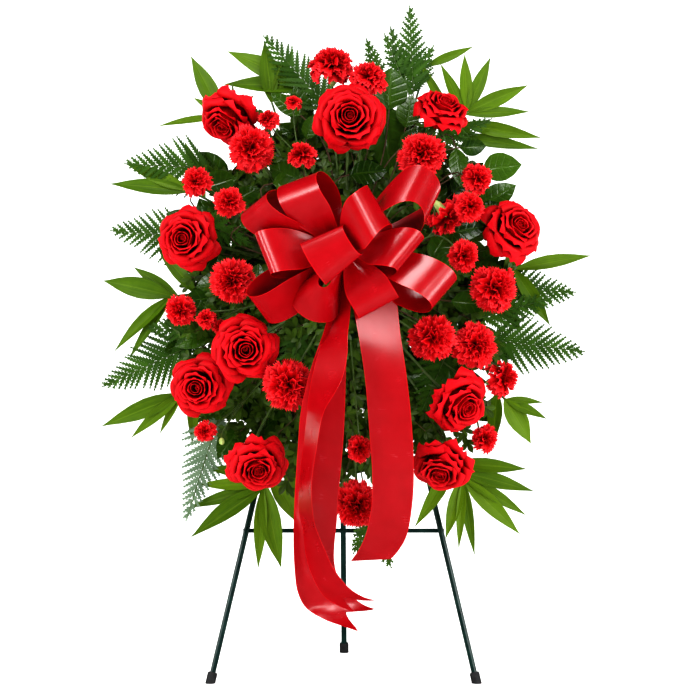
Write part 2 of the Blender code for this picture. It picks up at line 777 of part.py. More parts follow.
tail(
    "bow_tail_right",
    (
        (0.018, -0.029, 0.002, 0.010, 0.000, 0.000),
        (0.034, -0.052, 0.008, 0.024, 0.003, -0.006),
        (0.049, -0.077, 0.014, 0.036, 0.006, -0.010),
        (0.060, -0.147, 0.027, 0.036, 0.003, -0.010),
        (0.070, -0.214, 0.029, 0.037, 0.003, -0.004),
        (0.078, -0.299, 0.028, 0.037, 0.002, 0.000),
        (0.082, -0.376, 0.028, 0.037, 0.000, 0.000),
        (0.080, -0.429, 0.027, 0.037, -0.002, 0.000),
        (0.072, -0.475, 0.022, 0.036, -0.003, -0.004),
        (0.059, -0.504, 0.014, 0.036, -0.001, -0.008),
        (0.045, -0.523, 0.006, 0.036, 0.001, -0.008),
    ),
)
tail(
    "bow_tail_left",
    (
        (-0.002, -0.030, 0.005, 0.010, 0.000, 0.000),
        (-0.006, -0.105, 0.032, 0.016, 0.000, 0.014),
        (-0.012, -0.138, 0.048, 0.018, -0.002, 0.022),
        (-0.019, -0.174, 0.058, 0.024, -0.002, 0.025),
        (-0.028, -0.211, 0.066, 0.025, -0.002, 0.027),
        (-0.037, -0.238, 0.070, 0.021, -0.001, 0.031),
        (-0.048, -0.270, 0.072, 0.014, -0.001, 0.034),
        (-0.055, -0.317, 0.074, 0.012, 0.001, 0.035),
        (-0.064, -0.384, 0.074, 0.011, 0.001, 0.035),
        (-0.064, -0.433, 0.074, 0.012, 0.003, 0.035),
        (-0.058, -0.464, 0.072, 0.011, 0.005, 0.035),
        (-0.049, -0.500, 0.070, 0.016, 0.006, 0.033),
        (-0.037, -0.534, 0.066, 0.019, 0.007, 0.031),
        (-0.015, -0.569, 0.060, 0.021, 0.010, 0.030),
        (0.011, -0.587, 0.056, 0.020, 0.011, 0.030),
        (0.034, -0.595, 0.054, 0.018, 0.013, 0.030),
    ),
)
tail(
    "bow_tail_back",
    (
        (-0.010, -0.031, 0.000, 0.008, 0.000, 0.000),
        (-0.011, -0.100, 0.002, 0.015, 0.001, 0.000),
        (-0.014, -0.134, 0.008, 0.020, 0.001, -0.002),
        (-0.027, -0.200, 0.018, 0.030, 0.001, -0.002),
        (-0.036, -0.270, 0.022, 0.037, 0.000, 0.000),
        (-0.046, -0.403, 0.022, 0.037, 0.000, -0.001),
        (-0.049, -0.459, 0.022, 0.036, 0.000, -0.010),
        (-0.051, -0.501, 0.020, 0.034, 0.002, -0.015),
        (-0.050, -0.534, 0.016, 0.033, 0.006, -0.017),
        (-0.045, -0.563, 0.010, 0.034, 0.011, -0.011),
        (-0.032, -0.589, 0.002, 0.033, 0.014, -0.009),
        (-0.007, -0.608, -0.006, 0.027, 0.014, -0.022),
        (0.018, -0.620, -0.012, 0.018, 0.014, -0.030),
        (0.038, -0.627, -0.014, 0.015, 0.015, -0.031),
    ),
)

wire_way = (bow_centre - focus).normalized()
wire_start = focus + wire_way * (foam_exit(wire_way) - STEM_INSERTION)
wire_end = bow_centre - wire_way * 0.004
rod("bow_wire", [wire_start, wire_end], WIRE_RADIUS, BOW_WIRE)
wire_leave = focus + wire_way * (foam_exit(wire_way) + STRAIGHT)
drill_foam("bow_wire_hole", wire_start, wire_leave, WIRE_RADIUS + FIT_GAP)
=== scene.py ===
"""Looks of a standing funeral spray: roses, carnations, greens and a satin bow on a wire easel.

The pieces are made in the order in which a florist puts the spray together.
"""

import math
import random

import bpy
import numpy as np
from mathutils import Matrix, Vector


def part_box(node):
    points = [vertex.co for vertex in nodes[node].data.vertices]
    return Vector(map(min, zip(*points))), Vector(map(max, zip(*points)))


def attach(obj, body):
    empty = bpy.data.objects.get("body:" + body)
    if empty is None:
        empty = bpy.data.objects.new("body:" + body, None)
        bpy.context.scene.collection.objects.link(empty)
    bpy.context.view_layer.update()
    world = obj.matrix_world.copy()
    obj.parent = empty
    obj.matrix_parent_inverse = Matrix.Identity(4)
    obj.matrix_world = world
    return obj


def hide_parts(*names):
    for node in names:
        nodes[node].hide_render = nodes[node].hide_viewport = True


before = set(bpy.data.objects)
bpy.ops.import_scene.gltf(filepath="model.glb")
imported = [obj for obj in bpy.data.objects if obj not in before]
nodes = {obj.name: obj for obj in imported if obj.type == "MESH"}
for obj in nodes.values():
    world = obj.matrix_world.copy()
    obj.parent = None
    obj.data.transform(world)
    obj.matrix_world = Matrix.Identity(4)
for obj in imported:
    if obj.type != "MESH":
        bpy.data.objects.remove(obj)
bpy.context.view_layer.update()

# ---------------------------------------------------------------- easel rods
# Steel rod, welded into an inverted V with cross bars and dipped in dark green stoving enamel.
# The rear leg is a rod of the same gauge, wound once round the hinge bar.


def wire(tree, source, target):
    """Join two sockets."""
    tree.links.new(source, target)


def new_material(name, **plain):
    """A Principled material, its plain values set on the shader's own sockets."""
    made = bpy.data.materials.new(name)
    made.use_nodes = True
    shader = made.node_tree.nodes["Principled BSDF"]
    for socket, value in plain.items():
        shader.inputs[socket.replace("_", " ")].default_value = value
    return made, made.node_tree, shader


def ramp(tree, factor, stops):
    """A colour ramp fed by a factor: stops are (place, colour)."""
    node = tree.nodes.new("ShaderNodeValToRGB")
    elements = node.color_ramp.elements
    for index, (place, colour) in enumerate(stops):
        stop = elements[index] if index < 2 else elements.new(place)
        stop.position = place
        stop.color = (*colour, 1.0)
    wire(tree, factor, node.inputs["Fac"])
    return node.outputs["Color"]


def noise(tree, vector, scale, detail, rough=0.55):
    """Soft random variation, from 0 to 1."""
    node = tree.nodes.new("ShaderNodeTexNoise")
    node.inputs["Scale"].default_value = scale
    node.inputs["Detail"].default_value = detail
    node.inputs["Roughness"].default_value = rough
    wire(tree, vector, node.inputs["Vector"])
    return node.outputs["Fac"]


def sums(tree, kind, first, second):
    """One step of arithmetic, where either side is a socket or a number."""
    node = tree.nodes.new("ShaderNodeMath")
    node.operation = kind
    for socket, value in zip(node.inputs, (first, second)):
        if isinstance(value, (int, float)):
            socket.default_value = value
        else:
            wire(tree, value, socket)
    return node.outputs[0]


def relief(tree, shader, height, strength, distance):
    """Fine relief from a height."""
    bump = tree.nodes.new("ShaderNodeBump")
    bump.inputs["Strength"].default_value = strength
    bump.inputs["Distance"].default_value = distance
    wire(tree, height, bump.inputs["Height"])
    wire(tree, bump.outputs["Normal"], shader.inputs["Normal"])


def object_place(tree):
    """Where a point of the surface is in its piece, in metres."""
    return tree.nodes.new("ShaderNodeTexCoord").outputs["Object"]


WELD_GAP = 0.00001
CREASE_ANGLE = math.radians(50.0)


def painted(node, material):
    """Give a CAD piece its finish."""
    nodes[node].data.materials.clear()
    nodes[node].data.materials.append(material)
    for face in nodes[node].data.polygons:
        face.use_smooth = True
    joined = nodes[node].modifiers.new("joined", "WELD")
    joined.merge_threshold = WELD_GAP
    creased = nodes[node].modifiers.new("creased", "EDGE_SPLIT")
    creased.split_angle = CREASE_ANGLE


def new_group(name, inputs, outputs):
    """A shader node group with named sockets: the group, its input node and its output node."""
    group = bpy.data.node_groups.new(name, "ShaderNodeTree")
    for side, sockets in (("INPUT", inputs), ("OUTPUT", outputs)):
        for label, kind in sockets.items():
            group.interface.new_socket(label, in_out=side, socket_type=f"NodeSocket{kind}")
    return group, group.nodes.new("NodeGroupInput"), group.nodes.new("NodeGroupOutput")


def use_group(tree, shared, values):
    """Place a shared node group in a material, with the material's own values."""
    node = tree.nodes.new("ShaderNodeGroup")
    node.node_tree = shared
    for label, value in values.items():
        node.inputs[label].default_value = value
    return node


def mottle_group():
    """Uneven dip or moulding: a slow cloud for the colour and fine grain for the relief."""
    group, into, out = new_group(
        "mottle",
        {"Cloud Scale": "Float", "Grain Scale": "Float"},
        {"Cloud": "Float", "Grain": "Float"},
    )
    place = object_place(group)
    for label, output in (("Cloud Scale", "Cloud"), ("Grain Scale", "Grain")):
        node = group.nodes.new("ShaderNodeTexNoise")
        node.inputs["Detail"].default_value = 4.0
        wire(group, place, node.inputs["Vector"])
        wire(group, into.outputs[label], node.inputs["Scale"])
        wire(group, node.outputs["Fac"], out.inputs[output])
    return group


MOTTLE = mottle_group()


def mottled(name, dark, light, roughness, cloud, grain, depth, **plain):
    """A dipped, moulded or cast finish: clouded colour, clouded gloss and a fine grain."""
    made, tree, shader = new_material(name, **plain)
    group = use_group(tree, MOTTLE, {"Cloud Scale": cloud, "Grain Scale": grain})
    wire(tree, ramp(tree, group.outputs["Cloud"], ((0.3, dark), (0.7, light))), shader.inputs["Base Color"])
    low, high = roughness
    gloss = sums(tree, "MULTIPLY_ADD", group.outputs["Cloud"], high - low)
    gloss.node.inputs[2].default_value = low
    wire(tree, gloss, shader.inputs["Roughness"])
    relief(tree, shader, group.outputs["Grain"], 0.35, depth)
    return made


enamel = mottled(
    "green_enamel",
    dark=(0.003, 0.015, 0.013),
    light=(0.008, 0.034, 0.028),
    roughness=(0.22, 0.38),
    cloud=60.0,
    grain=700.0,
    depth=0.0002,
    Specular_IOR_Level=0.4,
    Coat_Weight=0.15,
    Coat_Roughness=0.15,
)
for rod in ("leg_left", "leg_right", "lower_crossbar", "hinge_bar", "stop_bar", "rear_leg"):
    painted(rod, enamel)

# ---------------------------------------------------------------- feet
# Three black rubber tips, moulded in one piece each and pushed over the ends of the rods. They are
# worn dull by the floor.

rubber = mottled(
    "black_rubber",
    dark=(0.006, 0.006, 0.007),
    light=(0.020, 0.020, 0.021),
    roughness=(0.55, 0.80),
    cloud=220.0,
    grain=1600.0,
    depth=0.0002,
)
for tip in ("foot_left", "foot_right", "foot_rear"):
    painted(tip, rubber)

# ---------------------------------------------------------------- holder
# A brick of soaked floral foam, fine-celled and crumbly, in a moulded tray tied to the legs with
# painted wire. The foam is drilled where the stems go in.

foam_finish = mottled(
    "wet_foam",
    dark=(0.018, 0.070, 0.028),
    light=(0.050, 0.140, 0.055),
    roughness=(0.85, 0.98),
    cloud=180.0,
    grain=1400.0,
    depth=0.0012,
)
painted("foam_brick", foam_finish)
tray_finish = mottled(
    "tray_plastic",
    dark=(0.008, 0.050, 0.020),
    light=(0.016, 0.075, 0.032),
    roughness=(0.30, 0.45),
    cloud=25.0,
    grain=500.0,
    depth=0.0002,
)
painted("holder_tray", tray_finish)
wire_finish = mottled(
    "florist_wire",
    dark=(0.020, 0.055, 0.022),
    light=(0.040, 0.095, 0.040),
    roughness=(0.35, 0.55),
    cloud=90.0,
    grain=900.0,
    depth=0.0001,
)
painted("tie_wire", wire_finish)

# ---------------------------------------------------------------- roses
# Open florist's roses: a tight spiral of upright petals, then cupped ones, then outer petals whose
# rims roll back to a point. Each stands on a green cup with five sepals, on a stem pushed into the foam.


def sheet(grid, tint):
    """One petal, blade or band as a grid of points, with its shading place (across, along, chance)."""
    return grid, tint


def tint_of(across, along, chance):
    """The shading place of each point of a grid."""
    return np.stack([across, along, np.full_like(across, chance)], axis=-1)


def make_piece(name, sheets, materials, thickness=0.0):
    """Join the sheets to one mesh: each is (grid, tint) or (grid, tint, material number)."""
    points = []
    tints = []
    faces = []
    finishes = []
    count = 0
    for entry in sheets:
        grid, tint = entry[0], entry[1]
        rows, columns = grid.shape[:2]
        index = np.arange(rows * columns).reshape(rows, columns) + count
        corners = [index[:-1, :-1], index[:-1, 1:], index[1:, 1:], index[1:, :-1]]
        quads = np.stack(corners, axis=-1).reshape(-1, 4)
        faces.append(quads)
        finishes.append(np.full(len(quads), entry[2] if len(entry) > 2 else 0))
        points.append(grid.reshape(-1, 3))
        tints.append(tint.reshape(-1, 3))
        count += rows * columns
    mesh = bpy.data.meshes.new(name)
    mesh.from_pydata(np.concatenate(points).tolist(), [], np.concatenate(faces).tolist())
    tint = mesh.attributes.new("tint", "FLOAT_VECTOR", "POINT")
    tint.data.foreach_set("vector", np.concatenate(tints).astype(np.float32).ravel())
    mesh.polygons.foreach_set("material_index", np.concatenate(finishes).astype(np.int32))
    mesh.polygons.foreach_set("use_smooth", np.ones(len(mesh.polygons), bool))
    for material in materials:
        mesh.materials.append(material)
    piece = bpy.data.objects.new(name, mesh)
    bpy.context.scene.collection.objects.link(piece)
    if thickness:
        sides = np.zeros(len(mesh.loops), np.int32)
        mesh.loops.foreach_get("edge_index", sides)
        sharp = mesh.attributes.new("sharp_edge", "BOOLEAN", "EDGE")
        sharp.data.foreach_set("value", np.bincount(sides, minlength=len(mesh.edges)) == 1)
        skin = piece.modifiers.new("thickness", "SOLIDIFY")
        skin.thickness = thickness
        skin.offset = 0.0
    return piece


def mesh_parts(node):
    """The triangles of a CAD piece: corner points, areas and unit normals."""
    mesh = nodes[node].data
    mesh.calc_loop_triangles()
    spots = np.array([corner.co for corner in mesh.vertices])
    corners = spots[np.array([tri.vertices for tri in mesh.loop_triangles])]
    cross = np.cross(corners[:, 1] - corners[:, 0], corners[:, 2] - corners[:, 0])
    double = np.linalg.norm(cross, axis=1)
    return corners, double / 2, cross / np.maximum(double, 1e-12)[:, None]


foam_low, foam_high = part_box("foam_brick")
foam_middle = (foam_low + foam_high) / 2
foam_middle.x = 0.0
FOAM_MARGIN = 0.004
LEAST_FLATS = 5
FLAT_MATCH = 0.00005
LEAST_ALIGNED = 0.9999
LARGEST_FLAT = 0.04


def bloom_places(node):
    """Each bloom's flat face on a CAD piece: (centre of the flat, its radius, the way it faces)."""
    corners, areas, normals = mesh_parts(node)
    levels = np.einsum("ij,ij->i", corners[:, 0], normals)
    waiting = np.ones(len(areas), bool)
    found = []
    for index in range(len(areas)):
        if not waiting[index]:
            continue
        level = np.abs(levels - levels[index]) < FLAT_MATCH
        same = waiting & level & (normals @ normals[index] > LEAST_ALIGNED)
        waiting &= ~same
        if same.sum() < LEAST_FLATS:
            continue
        centre = np.average(corners[same].mean(axis=1), axis=0, weights=areas[same])
        in_foam = all(
            low - FOAM_MARGIN < place < high + FOAM_MARGIN
            for low, place, high in zip(foam_low, centre, foam_high)
        )
        if not in_foam:
            radius = np.linalg.norm(corners[same].reshape(-1, 3) - centre, axis=1).max()
            if radius < LARGEST_FLAT:
                found.append((centre, radius, normals[index]))
    return found


def frame_of(facing, twist):
    """Axes of a bloom as columns: two across its face, and the way it faces."""
    facing = Vector(facing).normalized()
    side = facing.cross(Vector((0.0, 0.0, 1.0))).normalized()
    turned = Matrix((side, side.cross(facing) * -1.0, facing)).transposed()
    return np.array(turned @ Matrix.Rotation(twist, 3, "Z"))


def tint_parts(group):
    """The sockets of the shading place: across, along and chance."""
    place = group.nodes.new("ShaderNodeAttribute")
    place.attribute_name = "tint"
    split = group.nodes.new("ShaderNodeSeparateXYZ")
    wire(group, place.outputs["Vector"], split.inputs[0])
    return split.outputs


def stretched(group, *scaled):
    """The shading place drawn out for streaks: each part is (socket, what it is multiplied by)."""
    node = group.nodes.new("ShaderNodeCombineXYZ")
    for target, (source, factor) in zip(node.inputs, scaled):
        wire(group, sums(group, "MULTIPLY", source, factor), target)
    return node.outputs[0]


def blend(tree, factor, first, second):
    """A colour part of the way from the first to the second; the second may be a plain colour."""
    node = tree.nodes.new("ShaderNodeMix")
    node.data_type = "RGBA"
    wire(tree, factor, node.inputs["Factor"])
    wire(tree, first, node.inputs["A"])
    if isinstance(second, tuple):
        node.inputs["B"].default_value = (*second, 1.0)
    else:
        wire(tree, second, node.inputs["B"])
    return node.outputs["Result"]


CHANCE_SPREAD = 37.0


def petal_group():
    """Petal colour: painted highlight on the rim, painted shade in the throat, faint lengthwise veins, and
    the veins' relief.
    """
    group, into, out = new_group(
        "petal_surface",
        {"Painted Shade": "Color", "Body": "Color", "Painted Highlight": "Color", "Painted Highlight Width": "Float", "Veins": "Float"},
        {"Color": "Color", "Height": "Float"},
    )
    across, along, chance = tint_parts(group)
    streaks = stretched(group, (across, into.outputs["Veins"]), (along, 1.6), (chance, CHANCE_SPREAD))
    veins = noise(group, streaks, 1.0, 2.0)
    cloud = noise(group, object_place(group), 55.0, 2.0)
    uneven = sums(group, "MULTIPLY", sums(group, "SUBTRACT", cloud, 0.5), 0.55)
    depth = sums(group, "SMOOTH_MIN", sums(group, "ADD", along, uneven), 1.0)
    # Painted shade: the petal darkens from its body colour towards its foot, deep in the bloom.
    body = blend(group, depth, into.outputs["Painted Shade"], into.outputs["Body"])
    # Painted highlight: a paler band along the rim, where the light catches it.
    rim = group.nodes.new("ShaderNodeMapRange")
    rim.interpolation_type = "SMOOTHSTEP"
    wire(group, along, rim.inputs["Value"])
    wire(group, sums(group, "SUBTRACT", 1.0, into.outputs["Painted Highlight Width"]), rim.inputs["From Min"])
    wire(group, sums(group, "MULTIPLY", veins, 1.1), rim.inputs["To Max"])
    wire(group, blend(group, rim.outputs[0], body, into.outputs["Painted Highlight"]), out.inputs["Color"])
    wire(group, veins, out.inputs["Height"])
    return group


PETAL_SURFACE = petal_group()


def petal_finish(name, shaded_base, body, rim, highlight_width, veins, depth, **plain):
    """A petal material from the shared petal surface, with its painted shade and painted highlight colours.
    """
    made, tree, shader = new_material(name, **plain)
    values = {label: (*colour, 1.0) for label, colour in (("Painted Shade", shaded_base), ("Body", body), ("Painted Highlight", rim))}
    group = use_group(tree, PETAL_SURFACE, {**values, "Painted Highlight Width": highlight_width, "Veins": veins})
    wire(tree, group.outputs["Color"], shader.inputs["Base Color"])
    relief(tree, shader, group.outputs["Height"], 0.5, depth)
    return made


# The rose's darkest colour is painted shade at each petal's foot, and its rim colour is a painted
# highlight.
rose_finish = petal_finish(
    "rose_petals",
    shaded_base=(0.230, 0.0006, 0.002),
    body=(0.405, 0.0011, 0.0045),
    rim=(0.680, 0.004, 0.016),
    highlight_width=0.22,
    veins=26.0,
    depth=0.0005,
    Roughness=0.50,
    Specular_IOR_Level=0.15,
)

stem_finish = mottled(
    "flower_stem",
    dark=(0.028, 0.060, 0.008),
    light=(0.070, 0.115, 0.020),
    roughness=(0.40, 0.55),
    cloud=120.0,
    grain=600.0,
    depth=0.0002,
)


def unit(vector):
    """The vector at length 1."""
    return vector / np.linalg.norm(vector)


def cubic(share, first, second, third, last):
    """Where a curve with four handles is after a share of its way."""
    rest = 1.0 - share
    near = rest**3 * first + 3 * rest**2 * share * second
    return near + 3 * rest * share**2 * third + share**3 * last


def bezier(points, steps):
    """Points along a curve with four handles."""
    share = np.linspace(0.0, 1.0, steps)[:, None]
    return cubic(share, *(np.array(point, float) for point in points))


def tube(path, radii, sides=8):
    """A round stem along a path, as a closed-round grid that narrows with the radii."""
    path = np.array(path, float)
    ways = np.gradient(path, axis=0)
    ways /= np.linalg.norm(ways, axis=1)[:, None]
    side = np.cross(ways[0], (0.31, 0.52, 0.79))
    rings = []
    turn = np.linspace(0.0, 2 * math.pi, sides + 1)
    for place, way, radius in zip(path, ways, np.broadcast_to(radii, len(path))):
        side = unit(side - way * side.dot(way))
        up = np.cross(way, side)
        rings.append(place + radius * (np.outer(np.cos(turn), side) + np.outer(np.sin(turn), up)))
    grid = np.array(rings)
    along = np.repeat(np.linspace(0.0, 1.0, len(path))[:, None], sides + 1, axis=1)
    return sheet(grid, tint_of(np.zeros_like(along), along, 0.5))


STEM_INSIDE = 0.020


def stem_bends(start, out, neck, facing):
    """The four handles of a stem that leaves along one direction and arrives along another."""
    reach = np.linalg.norm(neck - start)
    return start, start + out * reach * 0.5, neck - facing * reach * 0.2, neck


def stem_path(neck, facing, steps=14):
    """From inside the foam to the neck of a bloom, leaving straight and arriving along its axis."""
    focus = np.array(foam_middle)
    out = unit(neck - focus)
    return bezier(stem_bends(focus + out * STEM_INSIDE, out, neck, facing), steps)


# A random turn is drawn from 0 to just over one turn, in radians.
ANY_TURN = 6.3

# Rings of a rose from the heart out, as parts of its half width: petals, radius and height of the
# rim before it rolls, half turn covered, lean from upright, how far the rim rolls, roll radius.
ROSE_RINGS = (
    (3, 0.15, 0.40, 95, -8, 30, 0.04),
    (3, 0.24, 0.43, 85, -5, 45, 0.05),
    (4, 0.36, 0.42, 66, 0, 60, 0.07),
    (4, 0.49, 0.37, 62, 6, 78, 0.09),
    (5, 0.62, 0.27, 52, 14, 95, 0.11),
    (5, 0.76, 0.10, 50, 26, 112, 0.14),
    (6, 0.86, -0.14, 42, 44, 120, 0.17),
)
ROSE_FOOT = (0.10, -0.82)
ROLL_FROM = 0.72
HEART_TURNS = 2.3
RING_SHIFT = 0.6


def rose_petal(ring, turn, chance, columns=14, rows=13):
    """One petal in a bloom of half width 1 that faces +Z."""
    _, radius, height, half_turn, lean, roll, roll_radius = ring
    outer = radius / ROSE_RINGS[-1][1]
    across, along = np.meshgrid(np.linspace(-1, 1, columns + 1), np.linspace(0, 1, rows + 1))
    radius = radius * (1 + chance.uniform(-0.08, 0.06))
    height = height + chance.uniform(-0.03, 0.03)
    roll = math.radians(roll * chance.uniform(0.65, 1.35))
    lean = math.radians(lean)
    foot_r, foot_h = ROSE_FOOT
    belly = 0.45 * (height - foot_h)
    rise = np.array(
        (
            (foot_r, foot_h),
            (foot_r + 0.80 * (radius - foot_r), foot_h + 0.08 * (height - foot_h)),
            (radius - math.sin(lean) * belly, height - math.cos(lean) * belly),
            (radius, height),
        )
    )
    line = cubic(np.clip(along / ROLL_FROM, 0, 1)[..., None], *rise)
    # The rim rolls on a circle. It has a point in its middle, and its margins roll further.
    beyond = np.clip((along - ROLL_FROM) / (1 - ROLL_FROM), 0, 1)
    bend = roll * beyond * (1 + 0.25 * across**2)
    turned_r = roll_radius * (math.cos(lean) - np.cos(lean + bend))
    turned_h = roll_radius * (np.sin(lean + bend) - math.sin(lean))
    point = np.exp(-((across / 0.20) ** 2)) * 0.13 * outer * beyond**2
    out_r = line[..., 0] + turned_r + point * np.sin(lean + bend)
    out_h = line[..., 1] + turned_h + point * np.cos(lean + bend)
    # Overlap: one margin tucks under its neighbour. Margins droop, and the sheet waves a little.
    wave_one, wave_two = chance.uniform(0, ANY_TURN), chance.uniform(0, ANY_TURN)
    out_r = out_r * (1 + 0.07 * across * along) + 0.020 * np.sin(2.6 * across + wave_one) * along**2
    droop = (0.05 + 0.16 * outer) * np.abs(across) ** 2.4 * along
    out_h = out_h - droop + 0.018 * np.sin(3.4 * across + wave_two) * along**2
    narrow = 1 - 0.62 * outer * beyond**1.4
    angle = turn + math.radians(half_turn) * across * narrow * (0.55 + 0.45 * np.minimum(1, along * 2.2))
    grid = np.stack([out_r * np.cos(angle), out_r * np.sin(angle), out_h], axis=-1)
    return sheet(grid, tint_of(across, along, chance.random()))


def rose_heart(chance, columns=40, rows=5):
    """The rolled bud at the centre: one spiral sheet."""
    spin, along = np.meshgrid(np.linspace(0, 1, columns + 1), np.linspace(0, 1, rows + 1))
    angle = chance.uniform(0, ANY_TURN) + spin * 2 * math.pi * HEART_TURNS
    radius = (0.020 + 0.085 * spin) * (0.92 + 0.10 * along)
    height = -0.25 + along * (0.60 + 0.03 * np.sin(5 * angle))
    grid = np.stack([radius * np.cos(angle), radius * np.sin(angle), height], axis=-1)
    return sheet(grid, tint_of(spin * 2 - 1, along * 0.9, chance.random()))


def rose_sheets(chance):
    """All petals of one rose, in a bloom of half width 1 that faces +Z."""
    sheets = [rose_heart(chance)]
    turn = chance.uniform(0, ANY_TURN)
    drift = np.array((chance.uniform(-0.09, 0.09), chance.uniform(-0.09, 0.09), 0.0))
    for ring in ROSE_RINGS:
        count = ring[0]
        for index in range(count):
            step = turn + 2 * math.pi * index / count + chance.uniform(-0.22, 0.22)
            grid, tint = rose_petal(ring, step, chance)
            sheets.append(sheet(grid + drift * (1 - ring[1]), tint))
        turn += math.pi / count + RING_SHIFT
    return sheets


def placed(entry, axes, centre, scale):
    """A sheet moved from its own unit space to its place on the spray."""
    return (entry[0] @ axes.T * scale + centre, *entry[1:])


def turned_cup(profile, sides=12):
    """A turned form from (height, radius) pairs."""
    turn = np.linspace(0, 2 * math.pi, sides + 1)
    heights = np.array([point[0] for point in profile])
    radii = np.array([point[1] for point in profile])
    grid = np.stack(
        [
            np.outer(radii, np.cos(turn)),
            np.outer(radii, np.sin(turn)),
            np.outer(heights, np.ones(sides + 1)),
        ],
        axis=-1,
    )
    along = np.repeat(np.linspace(0, 1, len(profile))[:, None], sides + 1, axis=1)
    return sheet(grid, tint_of(np.zeros_like(along), along, 0.4))


ROSE_CUP = ((-1.02, 0.05), (-0.98, 0.10), (-0.90, 0.15), (-0.80, 0.17), (-0.74, 0.12), (-0.74, 0.0))


def spun(turn, out, aside, height):
    """A grid turned round the bloom's axis, from its distances out, aside and up."""
    return np.stack(
        [
            out * math.cos(turn) - aside * math.sin(turn),
            out * math.sin(turn) + aside * math.cos(turn),
            height,
        ],
        axis=-1,
    )


FIVE_ANGLES = [math.radians(72 * number) for number in range(5)]
SEPAL_DROP = -0.30


def sepal(turn, length):
    """A narrow green sepal that bends back from the cup."""
    across, along = np.meshgrid(np.linspace(-1, 1, 3), np.linspace(0, 1, 7))
    half = 0.10 * (1 - along) ** 0.8 * (1 + 0.6 * along)
    out = 0.14 + length * along
    height = -0.80 + SEPAL_DROP * along**1.5 - 0.03 * np.abs(across)
    return sheet(spun(turn, out, across * half, height), tint_of(across, along, 0.6))


ROSE_CAP_RADIUS = 0.55
ROSE_CAP_HEIGHT = 0.42
ROSE_STEM_RADIUS = 0.0027
PETAL_THICKNESS = 0.0006
ROSE_SEED = 500
rose_nodes = sorted(name for name in nodes if name.startswith("rose_"))
for number, node in enumerate(rose_nodes):
    chance = random.Random(ROSE_SEED + number)
    (cap, cap_radius, facing), = bloom_places(node)
    half = cap_radius / ROSE_CAP_RADIUS
    centre = cap - facing * ROSE_CAP_HEIGHT * half
    axes = frame_of(facing, chance.uniform(0, ANY_TURN))
    petals = make_piece(
        f"{node}_petals",
        [placed(entry, axes, centre, half) for entry in rose_sheets(chance)],
        [rose_finish],
        PETAL_THICKNESS,
    )
    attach(petals, "stand")
    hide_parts(node)
    greens = [turned_cup(ROSE_CUP)]
    greens += [sepal(angle, chance.uniform(0.55, 0.75)) for angle in FIVE_ANGLES]
    greens = [placed(entry, axes, centre, half) for entry in greens]
    neck = centre - facing * half
    greens.append(tube(stem_path(neck, facing), ROSE_STEM_RADIUS))
    stem = make_piece(f"{node}_stem", greens, [stem_finish])
    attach(stem, "stand")

# ---------------------------------------------------------------- carnations
# Standard carnations: a crowded ball of fan-shaped petals with frilled, saw-toothed rims, held in a
# long pale green calyx on a straight stem.


def fan_petal(way, normal, length, width, teeth, chance, fold, curl, ruffle, rows=6):
    """A frilled petal from the origin along `way`, with its face towards `normal`."""
    columns = teeth * 2
    across, along = np.meshgrid(np.linspace(-1, 1, columns + 1), np.linspace(0, 1, rows + 1) ** 0.85)
    spread = along**1.5
    spread = 0.12 + 0.88 * spread * (1.6 - 0.6 * spread)
    uneven = np.array([chance.random() for _ in range(columns + 1)])
    frill = np.where(np.arange(columns + 1) % 2 == 0, 1.0, -1.0) * (0.7 + 0.6 * uneven)
    rim = np.clip((along - 0.82) / 0.18, 0, 1)
    notch = 0.16 * np.exp(-(((across - chance.uniform(-0.5, 0.5)) / 0.12) ** 2))
    reach = along * (1.0 - 0.16 * across**2) + rim * (0.070 * frill - notch)
    side = across * spread * width * (1 - 0.10 * np.abs(across) * fold)
    phase, second = chance.uniform(0, ANY_TURN), chance.uniform(0, ANY_TURN)
    waves = chance.uniform(1.6, 2.6)
    lift = ruffle * along**1.6 * np.sin(math.pi * waves * across + phase)
    lift += 0.35 * ruffle * along**3 * np.sin(math.pi * 2.3 * waves * across + second)
    lift += fold * width * np.abs(across) * along
    turn = curl * along**2.2
    forward = np.sinc(turn / math.pi) * reach * length
    back = -np.sin(turn / 2) * along * length * 0.9
    way = unit(way)
    normal = unit(normal - way * np.dot(normal, way))
    edge = np.cross(way, normal)
    grid = forward[..., None] * way + side[..., None] * edge + (lift + back)[..., None] * normal
    return sheet(grid, tint_of(across, along, chance.random()))


CARNATION_HEART = -0.34
GOLDEN_TURN = math.radians(137.508)


def carnation_sheets(chance, petals, teeth):
    """The petals of one carnation, in a bloom of half width 1 that faces +Z."""
    sheets = []
    start = chance.uniform(0, ANY_TURN)
    for index in range(petals):
        share = (index + 0.5) / petals
        tilt = math.radians(6 + 94 * share**0.72 + chance.uniform(-11, 11))
        turn = start + GOLDEN_TURN * index + chance.uniform(-0.2, 0.2)
        out = np.array((math.cos(turn), math.sin(turn), 0.0))
        up = np.array((0.0, 0.0, 1.0))
        way = out * math.sin(tilt) + up * math.cos(tilt)
        face = up * math.sin(tilt) - out * math.cos(tilt)
        inner = 1 - share
        twist = chance.uniform(-1.3, 1.3) * inner**0.6
        edge = np.cross(way, face)
        face = face * math.cos(twist) + edge * math.sin(twist)
        # The tips end on a flattened ball, so that the bloom is wider than it is deep.
        ball = 1.0 / math.hypot(math.sin(tilt) / 1.02, math.cos(tilt) / 0.84)
        length = ball * chance.uniform(0.86, 1.16)
        petal = fan_petal(
            way,
            face,
            length,
            0.34 + 0.22 * share,
            teeth,
            chance,
            fold=0.9 * inner**0.8 * chance.uniform(0.3, 1.0),
            curl=0.25 + 0.75 * share,
            ruffle=0.095 + 0.03 * inner,
        )
        grid = petal[0] + np.array((0.0, 0.0, CARNATION_HEART)) + out * 0.03
        sheets.append((grid, petal[1]))
    return sheets


